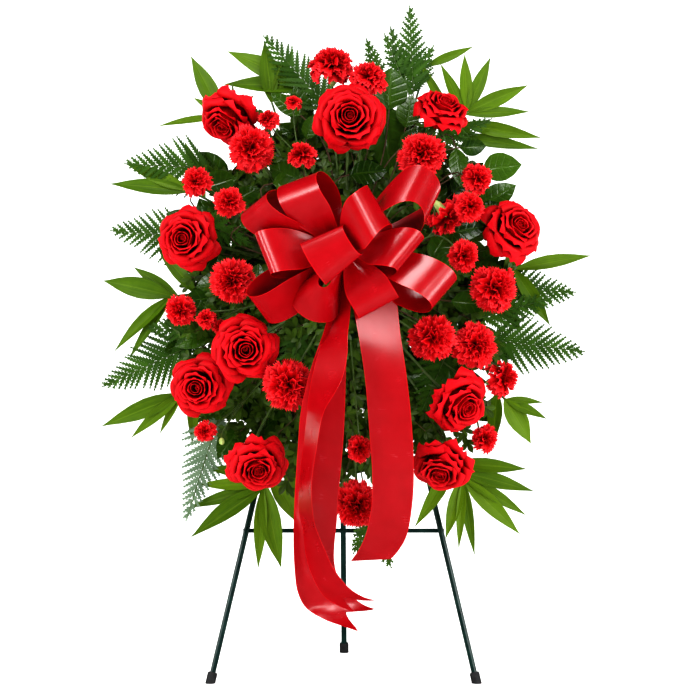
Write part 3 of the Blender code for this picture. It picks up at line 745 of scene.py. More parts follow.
CALYX = (
    (-1.26, 0.05),
    (-1.20, 0.12),
    (-1.05, 0.20),
    (-0.72, 0.235),
    (-0.46, 0.27),
    (-0.38, 0.24),
    (-0.42, 0.0),
)


def calyx_tooth(turn):
    """One of the five points round the mouth of the calyx."""
    across, along = np.meshgrid(np.linspace(-1, 1, 3), np.linspace(0, 1, 4))
    half = 0.15 * (1 - along)
    out = 0.262 + 0.05 * along
    height = -0.46 + 0.20 * along
    return sheet(spun(turn, out, across * half, height), tint_of(across, along, 0.5))


# The carnation's darkest colour is painted shade at each petal's foot, and its pink rim colour is a painted
# highlight.
carnation_finish = petal_finish(
    "carnation_petals",
    shaded_base=(0.200, 0.0006, 0.002),
    body=(0.605, 0.002, 0.007),
    rim=(0.950, 0.055, 0.070),
    highlight_width=0.13,
    veins=9.0,
    depth=0.0004,
    Roughness=0.55,
    Specular_IOR_Level=0.20,
)
calyx_finish = mottled(
    "carnation_calyx",
    dark=(0.240, 0.330, 0.080),
    light=(0.420, 0.480, 0.170),
    roughness=(0.40, 0.60),
    cloud=150.0,
    grain=700.0,
    depth=0.0003,
)

CARNATION_CAP_RADIUS = 0.56
CARNATION_CAP_HEIGHT = 0.45
CARNATION_NECK = 1.2
CARNATION_STEM_RADIUS = 0.0022
CARNATION_PETALS = 46
CARNATION_TEETH = 11
CARNATION_SEED = 700
standard_nodes = sorted(n for n in nodes if n.startswith("carnation_") and "spray" not in n)
for number, node in enumerate(standard_nodes):
    chance = random.Random(CARNATION_SEED + number)
    (cap, cap_radius, facing), = bloom_places(node)
    half = cap_radius / CARNATION_CAP_RADIUS
    centre = cap - facing * CARNATION_CAP_HEIGHT * half
    axes = frame_of(facing, chance.uniform(0, ANY_TURN))
    petals = make_piece(
        f"{node}_petals",
        [
            placed(entry, axes, centre, half)
            for entry in carnation_sheets(chance, CARNATION_PETALS, CARNATION_TEETH)
        ],
        [carnation_finish],
    )
    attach(petals, "stand")
    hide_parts(node)
    greens = [turned_cup(CALYX)] + [calyx_tooth(angle) for angle in FIVE_ANGLES]
    greens = [placed(entry, axes, centre, half) for entry in greens]
    neck = centre - facing * CARNATION_NECK * half
    greens.append((*tube(stem_path(neck, facing), CARNATION_STEM_RADIUS), 1))
    stem = make_piece(f"{node}_stem", greens, [calyx_finish, stem_finish])
    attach(stem, "stand")

# ---------------------------------------------------------------- spray carnations
# Small carnations and unopened buds on branched stems. Each branch ends in its own calyx, and each
# stem is pushed into the foam as one.

BUD_CAP_RADIUS = 0.60
BUD_CAP_HEIGHT = 1.2
LARGEST_BUD = 0.0045
SPRAY_STEM_RADIUS = 0.0018
BRANCH_RADIUS = SPRAY_STEM_RADIUS * 0.88
FORK_SHARE = 0.68
SMALL_PETALS = 26
SMALL_TEETH = 8
SPRAY_SEED = 900
BUD_SKIN = ((-2.0, 0.22), (-1.7, 0.66), (-0.8, 0.98), (0.3, 0.95), (1.0, 0.55), (1.35, 0.15), (1.40, 0.0))


def spray_fork(places):
    """Where the branches part, on the way from the foam to the middle of the heads."""
    middle = np.mean([place[0] for place in places], axis=0)
    return np.array(foam_middle) + (middle - np.array(foam_middle)) * FORK_SHARE


spray_nodes = sorted(n for n in nodes if n.startswith("carnation_spray"))
for number, node in enumerate(spray_nodes):
    chance = random.Random(SPRAY_SEED + number)
    places = bloom_places(node)
    fork = spray_fork(places)
    fork_way = unit(fork - np.array(foam_middle))
    heads = []
    greens = [(*tube(stem_path(fork, fork_way, 8), SPRAY_STEM_RADIUS), 1)]
    for cap, cap_radius, facing in places:
        axes = frame_of(facing, chance.uniform(0, ANY_TURN))
        if cap_radius < LARGEST_BUD:
            half = cap_radius / BUD_CAP_RADIUS
            centre = cap - facing * BUD_CAP_HEIGHT * half
            greens.append(placed(turned_cup(BUD_SKIN), axes, centre, half))
            neck = centre - facing * 2.0 * half
        else:
            half = cap_radius / CARNATION_CAP_RADIUS
            centre = cap - facing * CARNATION_CAP_HEIGHT * half
            small = carnation_sheets(chance, SMALL_PETALS, SMALL_TEETH)
            heads += [placed(entry, axes, centre, half) for entry in small]
            cup = [turned_cup(CALYX, 10)] + [calyx_tooth(angle) for angle in FIVE_ANGLES]
            greens += [placed(entry, axes, centre, half) for entry in cup]
            neck = centre - facing * CARNATION_NECK * half
        branch = stem_bends(fork, fork_way, neck, facing)
        greens.append((*tube(bezier(branch, 8), BRANCH_RADIUS, 6), 1))
    petals = make_piece(f"{node}_petals", heads, [carnation_finish])
    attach(petals, "stand")
    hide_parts(node)
    stem = make_piece(f"{node}_stem", greens, [calyx_finish, stem_finish])
    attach(stem, "stand")

# ---------------------------------------------------------------- palm fronds
# Parlour palm: thin leathery blades, pleated lengthwise, in a fan off the end of a green rib. The
# ribs are pushed into the foam behind the flowers.

leg_low, leg_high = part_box("leg_left")
LEAN = (leg_high.y - leg_low.y) / (leg_high.z - leg_low.z)
SPRAY_FACE = np.array((0.0, -1.0, LEAN)) / math.hypot(1.0, LEAN)


def spray_way(turn):
    """The direction at so many degrees clockwise from straight up, in the easel's plane."""
    turn = math.radians(turn)
    return unit(np.array((math.sin(turn), LEAN * math.cos(turn), math.cos(turn))))


def spray_spot(turn, distance, out):
    """A spot so far from the foam at so many degrees from straight up, in front of the easel's plane."""
    turn = math.radians(turn)
    z = foam_middle.z + distance * math.cos(turn)
    y = leg_low.y + LEAN * (z - leg_low.z) - out
    return np.array((foam_middle.x + distance * math.sin(turn), y, z))


def stalk_path(end, way, steps=12):
    """From inside the foam to a spot, arriving along a direction."""
    focus = np.array(foam_middle)
    reach = np.linalg.norm(end - focus)
    first = focus + (end - focus) / reach * STEM_INSIDE
    return bezier((first, focus + (end - focus) * 0.45, end - way * reach * 0.35, end), steps)


def leaf(base, way, face, length, width, shape, chance, bend, fold, rows, twist=0.0, columns=4):
    """A leaf blade out along `way` with its upper side to `face`; its tip falls back by `bend`."""
    side = unit(np.cross(way, face))
    face = np.cross(side, way)
    share = np.linspace(0, 1, rows + 1)[:, None]
    ways = np.cos(bend * share) * way - np.sin(bend * share) * face
    faces = np.cos(bend * share) * face + np.sin(bend * share) * way
    steps = np.cumsum((ways[1:] + ways[:-1]) / 2, axis=0)
    middle = base + np.vstack([np.zeros(3), steps]) * length / rows
    sides = np.cos(twist * share) * side + np.sin(twist * share) * faces
    faces = np.cos(twist * share) * faces - np.sin(twist * share) * side
    half = width / 2 * np.interp(share[:, 0], *zip(*shape))
    across = np.linspace(-1, 1, columns + 1)
    flat = np.einsum("i,j,ik->ijk", half, across * math.cos(fold), sides)
    raised = np.einsum("i,j,ik->ijk", half, np.abs(across) * math.sin(fold), faces)
    grid = middle[:, None, :] + flat + raised
    places = np.tile(across, (rows + 1, 1))
    return sheet(grid, tint_of(places, np.repeat(share, columns + 1, axis=1), chance))


VEIN_SHARPNESS = 14.0
RIB_EDGE = 0.12
RIB_CORE = 0.03


def leaf_group():
    """Leaf colour: a pale rib, side veins or lengthwise pleats, and soft patches; and their relief."""
    group, into, out = new_group(
        "leaf_surface",
        {
            "Dark": "Color",
            "Light": "Color",
            "Rib": "Color",
            "Side Veins": "Float",
            "Slant": "Float",
            "Pleats": "Float",
        },
        {"Color": "Color", "Height": "Float"},
    )
    across, along, chance = tint_parts(group)
    aside = sums(group, "ABSOLUTE", across, 0.0)
    streaks = stretched(group, (across, into.outputs["Pleats"]), (along, 1.2), (chance, CHANCE_SPREAD))
    pleats = noise(group, streaks, 1.0, 2.0)
    phase = sums(
        group,
        "SUBTRACT",
        sums(group, "MULTIPLY", along, into.outputs["Side Veins"]),
        sums(group, "MULTIPLY", aside, into.outputs["Slant"]),
    )
    veins = sums(group, "ABSOLUTE", sums(group, "COSINE", phase, 0.0), 0.0)
    veins = sums(group, "POWER", veins, VEIN_SHARPNESS)
    patches = noise(group, object_place(group), 45.0, 3.0)
    shade = sums(group, "ADD", sums(group, "MULTIPLY", pleats, 0.9), sums(group, "MULTIPLY", patches, 0.6))
    shade = sums(group, "ADD", shade, sums(group, "MULTIPLY", chance, 0.7))
    shade = sums(group, "SUBTRACT", shade, 0.6)
    body = blend(group, shade, into.outputs["Dark"], into.outputs["Light"])
    rib = group.nodes.new("ShaderNodeMapRange")
    rib.inputs["From Min"].default_value = RIB_EDGE
    rib.inputs["From Max"].default_value = RIB_CORE
    wire(group, aside, rib.inputs["Value"])
    lines = sums(group, "MAXIMUM", rib.outputs[0], sums(group, "MULTIPLY", veins, 0.45))
    lined = blend(group, sums(group, "MULTIPLY", lines, 0.55), body, into.outputs["Rib"])
    wire(group, lined, out.inputs["Color"])
    wire(group, sums(group, "SUBTRACT", pleats, lines), out.inputs["Height"])
    return group


LEAF_SURFACE = leaf_group()


def leaf_finish(name, dark, light, rib, side_veins, slant, pleats, depth, **plain):
    """A leaf material from the shared leaf surface."""
    made, tree, shader = new_material(name, **plain)
    values = {label: (*colour, 1.0) for label, colour in (("Dark", dark), ("Light", light), ("Rib", rib))}
    lines = {"Side Veins": side_veins, "Slant": slant, "Pleats": pleats}
    group = use_group(tree, LEAF_SURFACE, {**values, **lines})
    wire(tree, group.outputs["Color"], shader.inputs["Base Color"])
    relief(tree, shader, group.outputs["Height"], 0.6, depth)
    return made


palm_finish = leaf_finish(
    "palm_leaf",
    dark=(0.018, 0.058, 0.002),
    light=(0.088, 0.158, 0.005),
    rib=(0.130, 0.205, 0.014),
    side_veins=0.0,
    slant=0.0,
    pleats=7.0,
    depth=0.0008,
    Roughness=0.38,
    Specular_IOR_Level=0.12,
)
PALM_BLADE = (
    (0, 0.12),
    (0.08, 0.40),
    (0.25, 0.86),
    (0.42, 1.0),
    (0.60, 0.88),
    (0.78, 0.52),
    (0.91, 0.18),
    (1, 0.0),
)
PALM_THICKNESS = 0.0005
PALM_RIB_RADIUS = 0.0018
PALM_BLADE_WIDEN = 1.06

# Each frond: where its rib ends (degrees from straight up, distance from the foam), which way it
# then points, and how far it is in front of the easel. Then its blades: how far back from the end
# each starts, its angle from the rib, its length and its width.
PALM_FRONDS = {
    "palm_top_right": (35, 0.392, 30, 0.045, (
        (0.000, -32, 0.114, 0.024),
        (0.000, -7, 0.117, 0.025),
        (0.000, 36, 0.126, 0.029),
        (0.006, 56, 0.123, 0.022),
        (0.027, 70, 0.152, 0.029),
        (0.054, 68, 0.161, 0.024),
        (0.010, -54, 0.112, 0.025),
        (0.040, -58, 0.160, 0.018),
    )),
    "palm_top_left": (-36, 0.387, -32, 0.045, (
        (0.000, 4, 0.131, 0.036),
        (0.000, -25, 0.066, 0.015),
        (0.003, -62, 0.125, 0.016),
    )),
    "palm_top_left_long": (-11, 0.373, -44, 0.040, (
        (0.000, -19, 0.173, 0.040),
        (0.001, -40, 0.160, 0.036),
    )),
    "palm_top_left_upright": (-22, 0.366, -18, 0.040, (
        (0.000, 11, 0.121, 0.035),
        (0.000, 38, 0.107, 0.025),
    )),
    "palm_top": (20, 0.434, 15, 0.035, (
        (0.000, 52, 0.099, 0.018),
    )),
    "palm_inner_left": (-27, 0.257, -11, 0.060, (
        (0.000, 2, 0.066, 0.029),
        (0.056, 28, 0.076, 0.018),
    )),
    "palm_inner_bottom": (-162, 0.321, -170, 0.050, (
        (0.000, -19, 0.116, 0.033),
        (0.027, -28, 0.111, 0.025),
    )),
    "palm_left": (-94, 0.315, -95, 0.055, (
        (0.000, 19, 0.133, 0.040),
        (0.000, -37, 0.146, 0.028),
        (0.000, -50, 0.141, 0.020),
        (0.010, 38, 0.100, 0.022),
        (0.045, 55, 0.120, 0.026),
        (0.045, -62, 0.120, 0.026),
    )),
    "palm_right": (85, 0.309, 82, 0.050, (
        (0.000, -4, 0.144, 0.027),
        (0.002, 65, 0.122, 0.030),
        (0.042, 74, 0.128, 0.033),
        (0.020, -52, 0.110, 0.030),
    )),
    "palm_bottom_left": (-158, 0.392, -152, 0.045, (
        (0.023, 69, 0.115, 0.026),
        (0.006, 62, 0.121, 0.024),
        (0.000, 48, 0.143, 0.024),
        (0.000, 27, 0.157, 0.038),
        (0.000, -24, 0.147, 0.024),
        (0.006, -38, 0.153, 0.042),
        (0.026, -58, 0.100, 0.028),
        (0.070, -52, 0.090, 0.028),
    )),
    "palm_bottom_right": (149, 0.406, 151, 0.045, (
        (0.031, -56, 0.130, 0.027),
        (0.015, -46, 0.140, 0.028),
        (0.002, -33, 0.134, 0.024),
        (0.000, -17, 0.143, 0.031),
        (0.000, 21, 0.140, 0.020),
        (0.000, 33, 0.128, 0.018),
        (0.002, 45, 0.115, 0.026),
        (0.030, 62, 0.134, 0.028),
    )),
    "palm_left_upper": (-59, 0.332, -65, 0.050, (
        (0.000, -18, 0.151, 0.032),
        (0.000, 0, 0.137, 0.027),
        (0.030, 45, 0.120, 0.026),
    )),
    "palm_left_lower": (-124, 0.355, -128, 0.050, (
        (0.000, 16, 0.155, 0.034),
        (0.000, -3, 0.121, 0.024),
        (0.000, -22, 0.082, 0.015),
        (0.030, -50, 0.110, 0.024),
    )),
    "palm_right_lower": (126, 0.354, 133, 0.050, (
        (0.001, 16, 0.093, 0.038),
        (0.000, -18, 0.083, 0.020),
        (0.000, -40, 0.070, 0.014),
        (0.020, 52, 0.100, 0.028),
    )),
}
PALM_SEED = 61
chance = random.Random(PALM_SEED)
for name, (turn, distance, heading, out, blades) in PALM_FRONDS.items():
    end = spray_spot(turn, distance, out)
    ahead = spray_way(heading)
    sheets = [(*tube(stalk_path(end, ahead), PALM_RIB_RADIUS, 6), 1)]
    for back, angle, length, width in blades:
        tilt = chance.uniform(-0.25, 0.25)
        way = spray_way(heading + angle)
        face = SPRAY_FACE + tilt * np.cross(way, SPRAY_FACE) + chance.uniform(-0.12, 0.02) * way
        sheets.append(
            leaf(
                end - ahead * back,
                way,
                unit(face),
                length,
                width * PALM_BLADE_WIDEN,
                PALM_BLADE,
                chance.random(),
                bend=chance.uniform(-0.05, 0.30),
                fold=chance.uniform(0.20, 0.50),
                twist=chance.uniform(-0.4, 0.4),
                rows=14,
            )
        )
    frond = make_piece(f"{name}_frond", sheets, [palm_finish, stem_finish], PALM_THICKNESS)
    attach(frond, "stand")
    if name in nodes:
        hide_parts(name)

# ---------------------------------------------------------------- ferns
# Leatherleaf fern: flat triangular fronds, their side sprays cut into small teeth, dark and glossy
# above and pale below. The wiry ribs are pushed into the foam.

fern_finish = leaf_finish(
    "fern_leaf",
    dark=(0.006, 0.028, 0.002),
    light=(0.036, 0.090, 0.008),
    rib=(0.055, 0.115, 0.014),
    side_veins=0.0,
    slant=0.0,
    pleats=3.0,
    depth=0.0003,
    Roughness=0.42,
    Specular_IOR_Level=0.12,
)
fern_underside = leaf_finish(
    "fern_underside",
    dark=(0.070, 0.125, 0.070),
    light=(0.130, 0.195, 0.120),
    rib=(0.170, 0.230, 0.150),
    side_veins=0.0,
    slant=0.0,
    pleats=3.0,
    depth=0.0003,
    Roughness=0.60,
    Specular_IOR_Level=0.20,
)
TOOTH = 0.0056
SIDE_SPRAY_STEP = 0.0135
SIDE_SPRAY_ARCH = 0.10
FERN_STALK_RADIUS = 0.0013
FERN_RIB_RADII = (0.0011, 0.0004)


def toothed_spray(base, way, face, length, width, chance, bend):
    """One side spray of a frond: a narrow blade cut into forward-leaning teeth."""
    teeth = max(3, round(length / TOOTH))
    side = unit(np.cross(way, face))
    shares, halves, leans = [], [], []
    for tooth in range(teeth):
        taper = (1 - tooth / teeth) ** 0.65
        shares += [tooth / teeth, (tooth + 0.55) / teeth]
        halves += [0.46 * taper, taper]
        leans += [0.0, 0.8 / teeth]
    ended = ((shares, 1.0), (halves, 0.0), (leans, 0.0))
    shares, halves, leans = (np.array(values + [last]) for values, last in ended)
    fall = bend * shares**2
    middle = base + np.outer(shares * length, way) - np.outer(fall * length, face)
    edges = [
        middle + np.outer(leans * length, way) + sign * np.outer(halves * width / 2, side)
        for sign in (-1, 1)
    ]
    grid = np.stack([edges[0], middle, edges[1]], axis=1)
    places = np.tile(np.array((-1.0, 0.0, 1.0)), (len(shares), 1))
    return sheet(grid, tint_of(places, np.repeat(shares[:, None], 3, axis=1), chance))


def fern_frond(tip, heading, length, spread, chance, finish=0):
    """A frond that ends at a tip and points along a heading: its rib and its side sprays."""
    ahead = spray_way(heading)
    tilt = chance.uniform(-0.25, 0.25)
    face = unit(SPRAY_FACE + tilt * np.cross(ahead, SPRAY_FACE))
    aside = np.cross(ahead, face)
    base = tip - ahead * length
    stalk = tube(stalk_path(base, ahead), FERN_STALK_RADIUS, 5)
    rib = tube([base, tip], FERN_RIB_RADII, 4)
    sheets = [(*stalk, 2), (*rib, 2)]
    count = max(6, round(length / SIDE_SPRAY_STEP))
    for index in range(count):
        share = (index + 0.3) / count
        reach = spread * 1.18 * (1 - share) ** 0.85 * chance.uniform(0.94, 1.06) + 0.005
        wide = 0.007 + 0.0130 * (1 - share) ** 0.5
        for sign in (-1, 1):
            angle = math.radians((52 - 14 * share) * sign + chance.uniform(-3, 3))
            way = math.cos(angle) * ahead + math.sin(angle) * aside
            spot = base + ahead * length * (share + 0.02 * sign)
            lift = unit(face + chance.uniform(-0.2, 0.2) * ahead)
            spray = toothed_spray(spot, way, lift, reach, wide, chance.random(), SIDE_SPRAY_ARCH)
            sheets.append((*spray, finish))
    end = toothed_spray(tip - ahead * 0.020, ahead, face, 0.026, 0.009, chance.random(), 0.0)
    sheets.append((*end, finish))
    return sheets


# Each frond: its tip (degrees from straight up, distance from the foam), heading, length, spread.
FERN_FRONDS = (
    ("fern_top", 13, 0.530, -2, 0.166, 0.044),
    ("fern_top_side_left", 10, 0.484, -16, 0.097, 0.020),
    ("fern_top_side_far_left", 9, 0.469, -21, 0.082, 0.018),
    ("fern_top_side_right", 20, 0.470, 30, 0.075, 0.020),
    ("fern_crown", 5, 0.454, -18, 0.070, 0.016),
    ("fern_top_left", -18, 0.485, -42, 0.181, 0.062),
    ("fern_left_upper", -61, 0.457, -87, 0.154, 0.060),
    ("fern_left_middle", -77, 0.434, -86, 0.140, 0.058),
    ("fern_left_lower", -113, 0.469, -115, 0.169, 0.062),
    ("fern_right_upper", 92, 0.412, 92, 0.132, 0.050),
    ("fern_right", 106, 0.441, 97, 0.165, 0.062),
    ("fern_inner_right", 149, 0.263, -156, 0.108, 0.047),
    ("fern_bottom", 171, 0.505, 160, 0.081, 0.026),
    ("fern_bottom_small", 178, 0.474, -149, 0.063, 0.022),
    ("fern_inner_top_right", 41, 0.402, 65, 0.122, 0.032),
    ("fern_inner_left", -67, 0.188, 112, 0.098, 0.032),
    ("fern_inner_bottom_left", -150, 0.215, -162, 0.105, 0.036),
    ("fern_left_hidden", -103, 0.362, -90, 0.117, 0.044),
    ("fern_right_hidden", 94, 0.371, 74, 0.132, 0.040),
    ("fern_lower_left_hidden", -120, 0.330, -112, 0.122, 0.044),
)
DOME_REACH = 0.40
FERN_OUT = 0.055
FERN_RISE = 0.13
FERN_SEED = 71
chance = random.Random(FERN_SEED)
for name, turn, distance, heading, length, spread in FERN_FRONDS:
    out = FERN_OUT + FERN_RISE * max(0.0, 1 - distance / DOME_REACH)
    tip = spray_spot(turn, distance, out + chance.uniform(-0.008, 0.012))
    sheets = fern_frond(tip, heading, length, spread, chance)
    frond = make_piece(f"{name}_frond", sheets, [fern_finish, fern_underside, stem_finish])
    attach(frond, "stand")
    if name in nodes:
        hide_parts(name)

# One frond lies the other way up and shows its pale underside.
pale_tip = spray_spot(turn=-146, distance=0.503, out=0.050)
pale = fern_frond(pale_tip, heading=-163, length=0.189, spread=0.050, chance=chance, finish=1)
pale_frond = make_piece("fern_turned_over_frond", pale, [fern_finish, fern_underside, stem_finish])
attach(pale_frond, "stand")

# ---------------------------------------------------------------- salal
# Salal: thick glossy oval leaves on woody twigs, tucked in between the flowers and behind them to
# hide the foam.

salal_finish = leaf_finish(
    "salal_leaf",
    dark=(0.008, 0.030, 0.002),
    light=(0.044, 0.100, 0.006),
    rib=(0.052, 0.112, 0.010),
    side_veins=19.0,
    slant=2.6,
    pleats=2.0,
    depth=0.0012,
    Roughness=0.26,
    Specular_IOR_Level=0.40,
)
twig_finish = mottled(
    "brown_twig",
    dark=(0.045, 0.024, 0.010),
    light=(0.110, 0.065, 0.030),
    roughness=(0.60, 0.80),
    cloud=260.0,
    grain=900.0,
    depth=0.0003,
)
SALAL_BLADE = (
    (0, 0.06),
    (0.07, 0.42),
    (0.20, 0.84),
    (0.38, 1.0),
    (0.58, 0.93),
    (0.78, 0.62),
    (0.92, 0.24),
    (1, 0.0),
)
SALAL_THICKNESS = 0.0006
SALAL_STALK_RADIUS = 0.0012
TWIG_RADII = (0.0020, 0.0010)


def salal_leaf(base, way, length, width, chance, tilt=0.35):
    """One oval leaf, slightly cupped, facing roughly forwards."""
    face = SPRAY_FACE + chance.uniform(-tilt, tilt) * np.cross(way, SPRAY_FACE)
    face = unit(face + chance.uniform(-tilt, 0.05) * way)
    return leaf(
        base,
        unit(way - face * way.dot(face)),
        face,
        length,
        width,
        SALAL_BLADE,
        chance.random(),
        bend=chance.uniform(0.0, 0.5),
        fold=chance.uniform(0.05, 0.25),
        twist=chance.uniform(-0.3, 0.3),
        rows=9,
    )


# Single leaves that show between the flowers: their base (degrees from straight up, distance from
# the foam), heading, length and width.
SALAL_SHOWN = {
    "salal_top": (
        (14, 0.327, 3, 0.083, 0.067),
        (12, 0.335, 174, 0.128, 0.079),
        (2, 0.195, 84, 0.070, 0.047),
        (21, 0.304, 11, 0.067, 0.047),
        (22, 0.263, 47, 0.065, 0.036),
    ),
    "salal_right": (
        (78, 0.150, 84, 0.070, 0.042),
        (88, 0.130, 100, 0.060, 0.036),
        (118, 0.175, 120, 0.058, 0.034),
        (50, 0.323, 84, 0.072, 0.054),
        (40, 0.323, 86, 0.048, 0.036),
        (75, 0.158, 31, 0.072, 0.043),
        (64, 0.194, 77, 0.084, 0.043),
        (100, 0.190, 95, 0.070, 0.042),
        (39, 0.317, 171, 0.075, 0.036),
        (52, 0.287, 158, 0.056, 0.031),
        (33, 0.360, 136, 0.047, 0.027),
        (71, 0.223, -21, 0.059, 0.036),
    ),
    "salal_left": (
        (-36, 0.222, 85, 0.063, 0.042),
        (-62, 0.215, 60, 0.050, 0.032),
        (-56, 0.309, 70, 0.064, 0.050),
        (-24, 0.205, -65, 0.061, 0.047),
        (-15, 0.271, 17, 0.051, 0.031),
        (-15, 0.318, -53, 0.069, 0.034),
        (-54, 0.246, 56, 0.056, 0.036),
        (-88, 0.200, -100, 0.070, 0.042),
        (-94, 0.164, 13, 0.052, 0.029),
    ),
}
SALAL_OUT = 0.085
SALAL_RISE = 0.10
SHOWN_TILT = 0.12
SALAL_SEED = 81
chance = random.Random(SALAL_SEED)
for name, leaves in SALAL_SHOWN.items():
    sheets = []
    for turn, distance, heading, length, width in leaves:
        base = spray_spot(turn, distance, SALAL_OUT + SALAL_RISE * (1 - distance / DOME_REACH))
        way = spray_way(heading)
        sheets.append((*tube(stalk_path(base, way), SALAL_STALK_RADIUS, 5), 1))
        sheets.append(salal_leaf(base, way, length, width, chance, SHOWN_TILT))
    piece = make_piece(f"{name}_leaves", sheets, [salal_finish, twig_finish], SALAL_THICKNESS)
    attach(piece, "stand")
    if name in nodes:
        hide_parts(name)

# Twigs of salal all round, in two layers behind the flowers.
TWIGS = 44
LEAF_STEP = 0.027
NEAR_SHORTER = 0.86
NEAR_OUT = (0.055, 0.070)
FAR_OUT = (0.028, 0.045)


def spray_reach(turn, side, top, bottom):
    """How far the greens reach at so many degrees from straight up: further at the top and bottom."""
    upright = math.cos(math.radians(turn))
    return side + top * max(0.0, upright) + bottom * max(0.0, -upright)


for index in range(TWIGS):
    turn = 360 * index / TWIGS * 2 + chance.uniform(-6, 6)
    near = index >= TWIGS / 2
    reach = spray_reach(turn, side=0.27, top=0.06, bottom=0.09)
    reach *= chance.uniform(0.88, 1.0) * (NEAR_SHORTER if near else 1.0)
    end = spray_spot(turn, reach, chance.uniform(*(NEAR_OUT if near else FAR_OUT)))
    way = spray_way(turn)
    path = stalk_path(end, way, 16)
    sheets = [(*tube(path, np.linspace(*TWIG_RADII, len(path)), 6), 1)]
    spots = int(reach / LEAF_STEP)
    for step in range(2, spots + 1):
        place = path[min(len(path) - 1, int(step / spots * (len(path) - 1)))]
        swing = chance.uniform(35, 80) * (1 if step % 2 else -1)
        if step == spots:
            swing = 0.0
        length = chance.uniform(0.056, 0.082)
        sheets.append(salal_leaf(place, spray_way(turn + swing), length, length * 0.60, chance))
    twig = make_piece(f"salal_twig_{index + 1}", sheets, [salal_finish, twig_finish], SALAL_THICKNESS)
    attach(twig, "stand")

# ---------------------------------------------------------------- fine greens
# Sprigs of a fine, small-leaved green, each little leaf cut into three lobes. They fill the gaps
# between the flowers.

sprig_finish = leaf_finish(
    "fine_greens",
    dark=(0.003, 0.012, 0.001),
    light=(0.052, 0.104, 0.007),
    rib=(0.080, 0.135, 0.014),
    side_veins=0.0,
    slant=0.0,
    pleats=2.0,
    depth=0.0003,
    Roughness=0.38,
    Specular_IOR_Level=0.25,
)
LOBE = ((0, 0.12), (0.30, 0.55), (0.62, 1.0), (0.85, 0.70), (1, 0.0))
LOBE_SWING = 0.75
LOBE_WIDTH = 0.42


def small_leaf(base, way, size, chance):
    """Three lobes from one point."""
    face = unit(SPRAY_FACE + np.array([chance.uniform(-0.6, 0.6) for _ in range(3)]))
    way = unit(way - face * way.dot(face))
    side = np.cross(way, face)
    sheets = []
    for swing in (-LOBE_SWING, 0.0, LOBE_SWING):
        lobe_way = math.cos(swing) * way + math.sin(swing) * side
        reach = size * (1.0 if swing == 0 else 0.78)
        sheets.append(
            leaf(
                base,
                lobe_way,
                face,
                reach,
                size * LOBE_WIDTH,
                LOBE,
                chance.random(),
                bend=0.3,
                fold=0.2,
                rows=5,
                columns=2,
            )
        )
    return sheets


SPRIGS = 196
LOW_SPRIGS = 40
SPRIGS_A_BUNCH = 14
GOLDEN_SHARE = 0.618034
LOW_SPREAD = 0.45
SPRIG_LEAVES = 9
SPRIG_LEAF_STEP = 0.011
SPRIG_STALK_RADIUS = 0.0009
SPRIG_SEED = 85
chance = random.Random(SPRIG_SEED)
bunch = []
for index in range(SPRIGS):
    turn = 360 * ((index * GOLDEN_SHARE) % 1.0)
    if index >= SPRIGS - LOW_SPRIGS:
        turn = 180 + (turn - 180) * LOW_SPREAD
    widest = spray_reach(turn, side=0.29, top=0.06, bottom=0.10)
    reach = widest * math.sqrt(chance.uniform(0.05, 1.0))
    out = 0.060 + 0.070 * (1 - reach / widest) + chance.uniform(-0.01, 0.02)
    end = spray_spot(turn, reach, out)
    heading = turn + chance.uniform(-35, 35)
    way = spray_way(heading)
    bunch.append((*tube(stalk_path(end, way, 10), SPRIG_STALK_RADIUS, 4), 1))
    for step in range(SPRIG_LEAVES):
        back = step * SPRIG_LEAF_STEP
        spot = end - way * back + SPRAY_FACE * chance.uniform(-0.006, 0.006)
        swing = 0 if step == 0 else chance.uniform(35, 75) * (1 if step % 2 else -1)
        bunch += small_leaf(spot, spray_way(heading + swing), chance.uniform(0.018, 0.030), chance)
    if (index + 1) % SPRIGS_A_BUNCH == 0:
        number = (index + 1) // SPRIGS_A_BUNCH
        piece = make_piece(f"fine_greens_{number}", bunch, [sprig_finish, twig_finish])
        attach(piece, "stand")
        bunch = []

# ---------------------------------------------------------------- bow
# One length of wide red satin ribbon, folded into eleven loops round a pinched middle and wired to
# the foam. A small loop in front hides the pinch.

wire_low, wire_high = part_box("bow_wire")
painted("bow_wire", wire_finish)
knot = np.array(((wire_low.x + wire_high.x) / 2, wire_low.y - 0.004, wire_high.z))
RIBBON_WIDTH = 0.075
RIBBON_THICKNESS = 0.0005
PINCH_WIDTH = 0.020
PINCH_OFFSET = 0.0012
EDGE_START = 0.955
EDGE_FULL = 0.975
SATIN_GLOSS = (0.21, 0.10)


def satin_group():
    """Satin: fine threads along the ribbon's width, a slow unevenness, and a woven edge."""
    group, into, out = new_group(
        "satin_weave",
        {"Threads": "Float"},
        {"Sheen": "Float", "Edge": "Float", "Height": "Float"},
    )
    across, along, _ = tint_parts(group)
    streaks = stretched(group, (across, 1.2), (along, into.outputs["Threads"]))
    threads = noise(group, streaks, 1.0, 4.0, 0.7)
    cloud = noise(group, object_place(group), 28.0, 2.0)
    slow = sums(group, "MULTIPLY", cloud, 0.7)
    fine = sums(group, "MULTIPLY", threads, 0.3)
    wire(group, sums(group, "ADD", slow, fine), out.inputs["Sheen"])
    edge = group.nodes.new("ShaderNodeMapRange")
    edge.inputs["From Min"].default_value = EDGE_START
    edge.inputs["From Max"].default_value = EDGE_FULL
    wire(group, sums(group, "ABSOLUTE", across, 0.0), edge.inputs["Value"])
    wire(group, edge.outputs[0], out.inputs["Edge"])
    raised = sums(group, "MULTIPLY", edge.outputs[0], 0.8)
    wire(group, sums(group, "ADD", threads, raised), out.inputs["Height"])
    return group


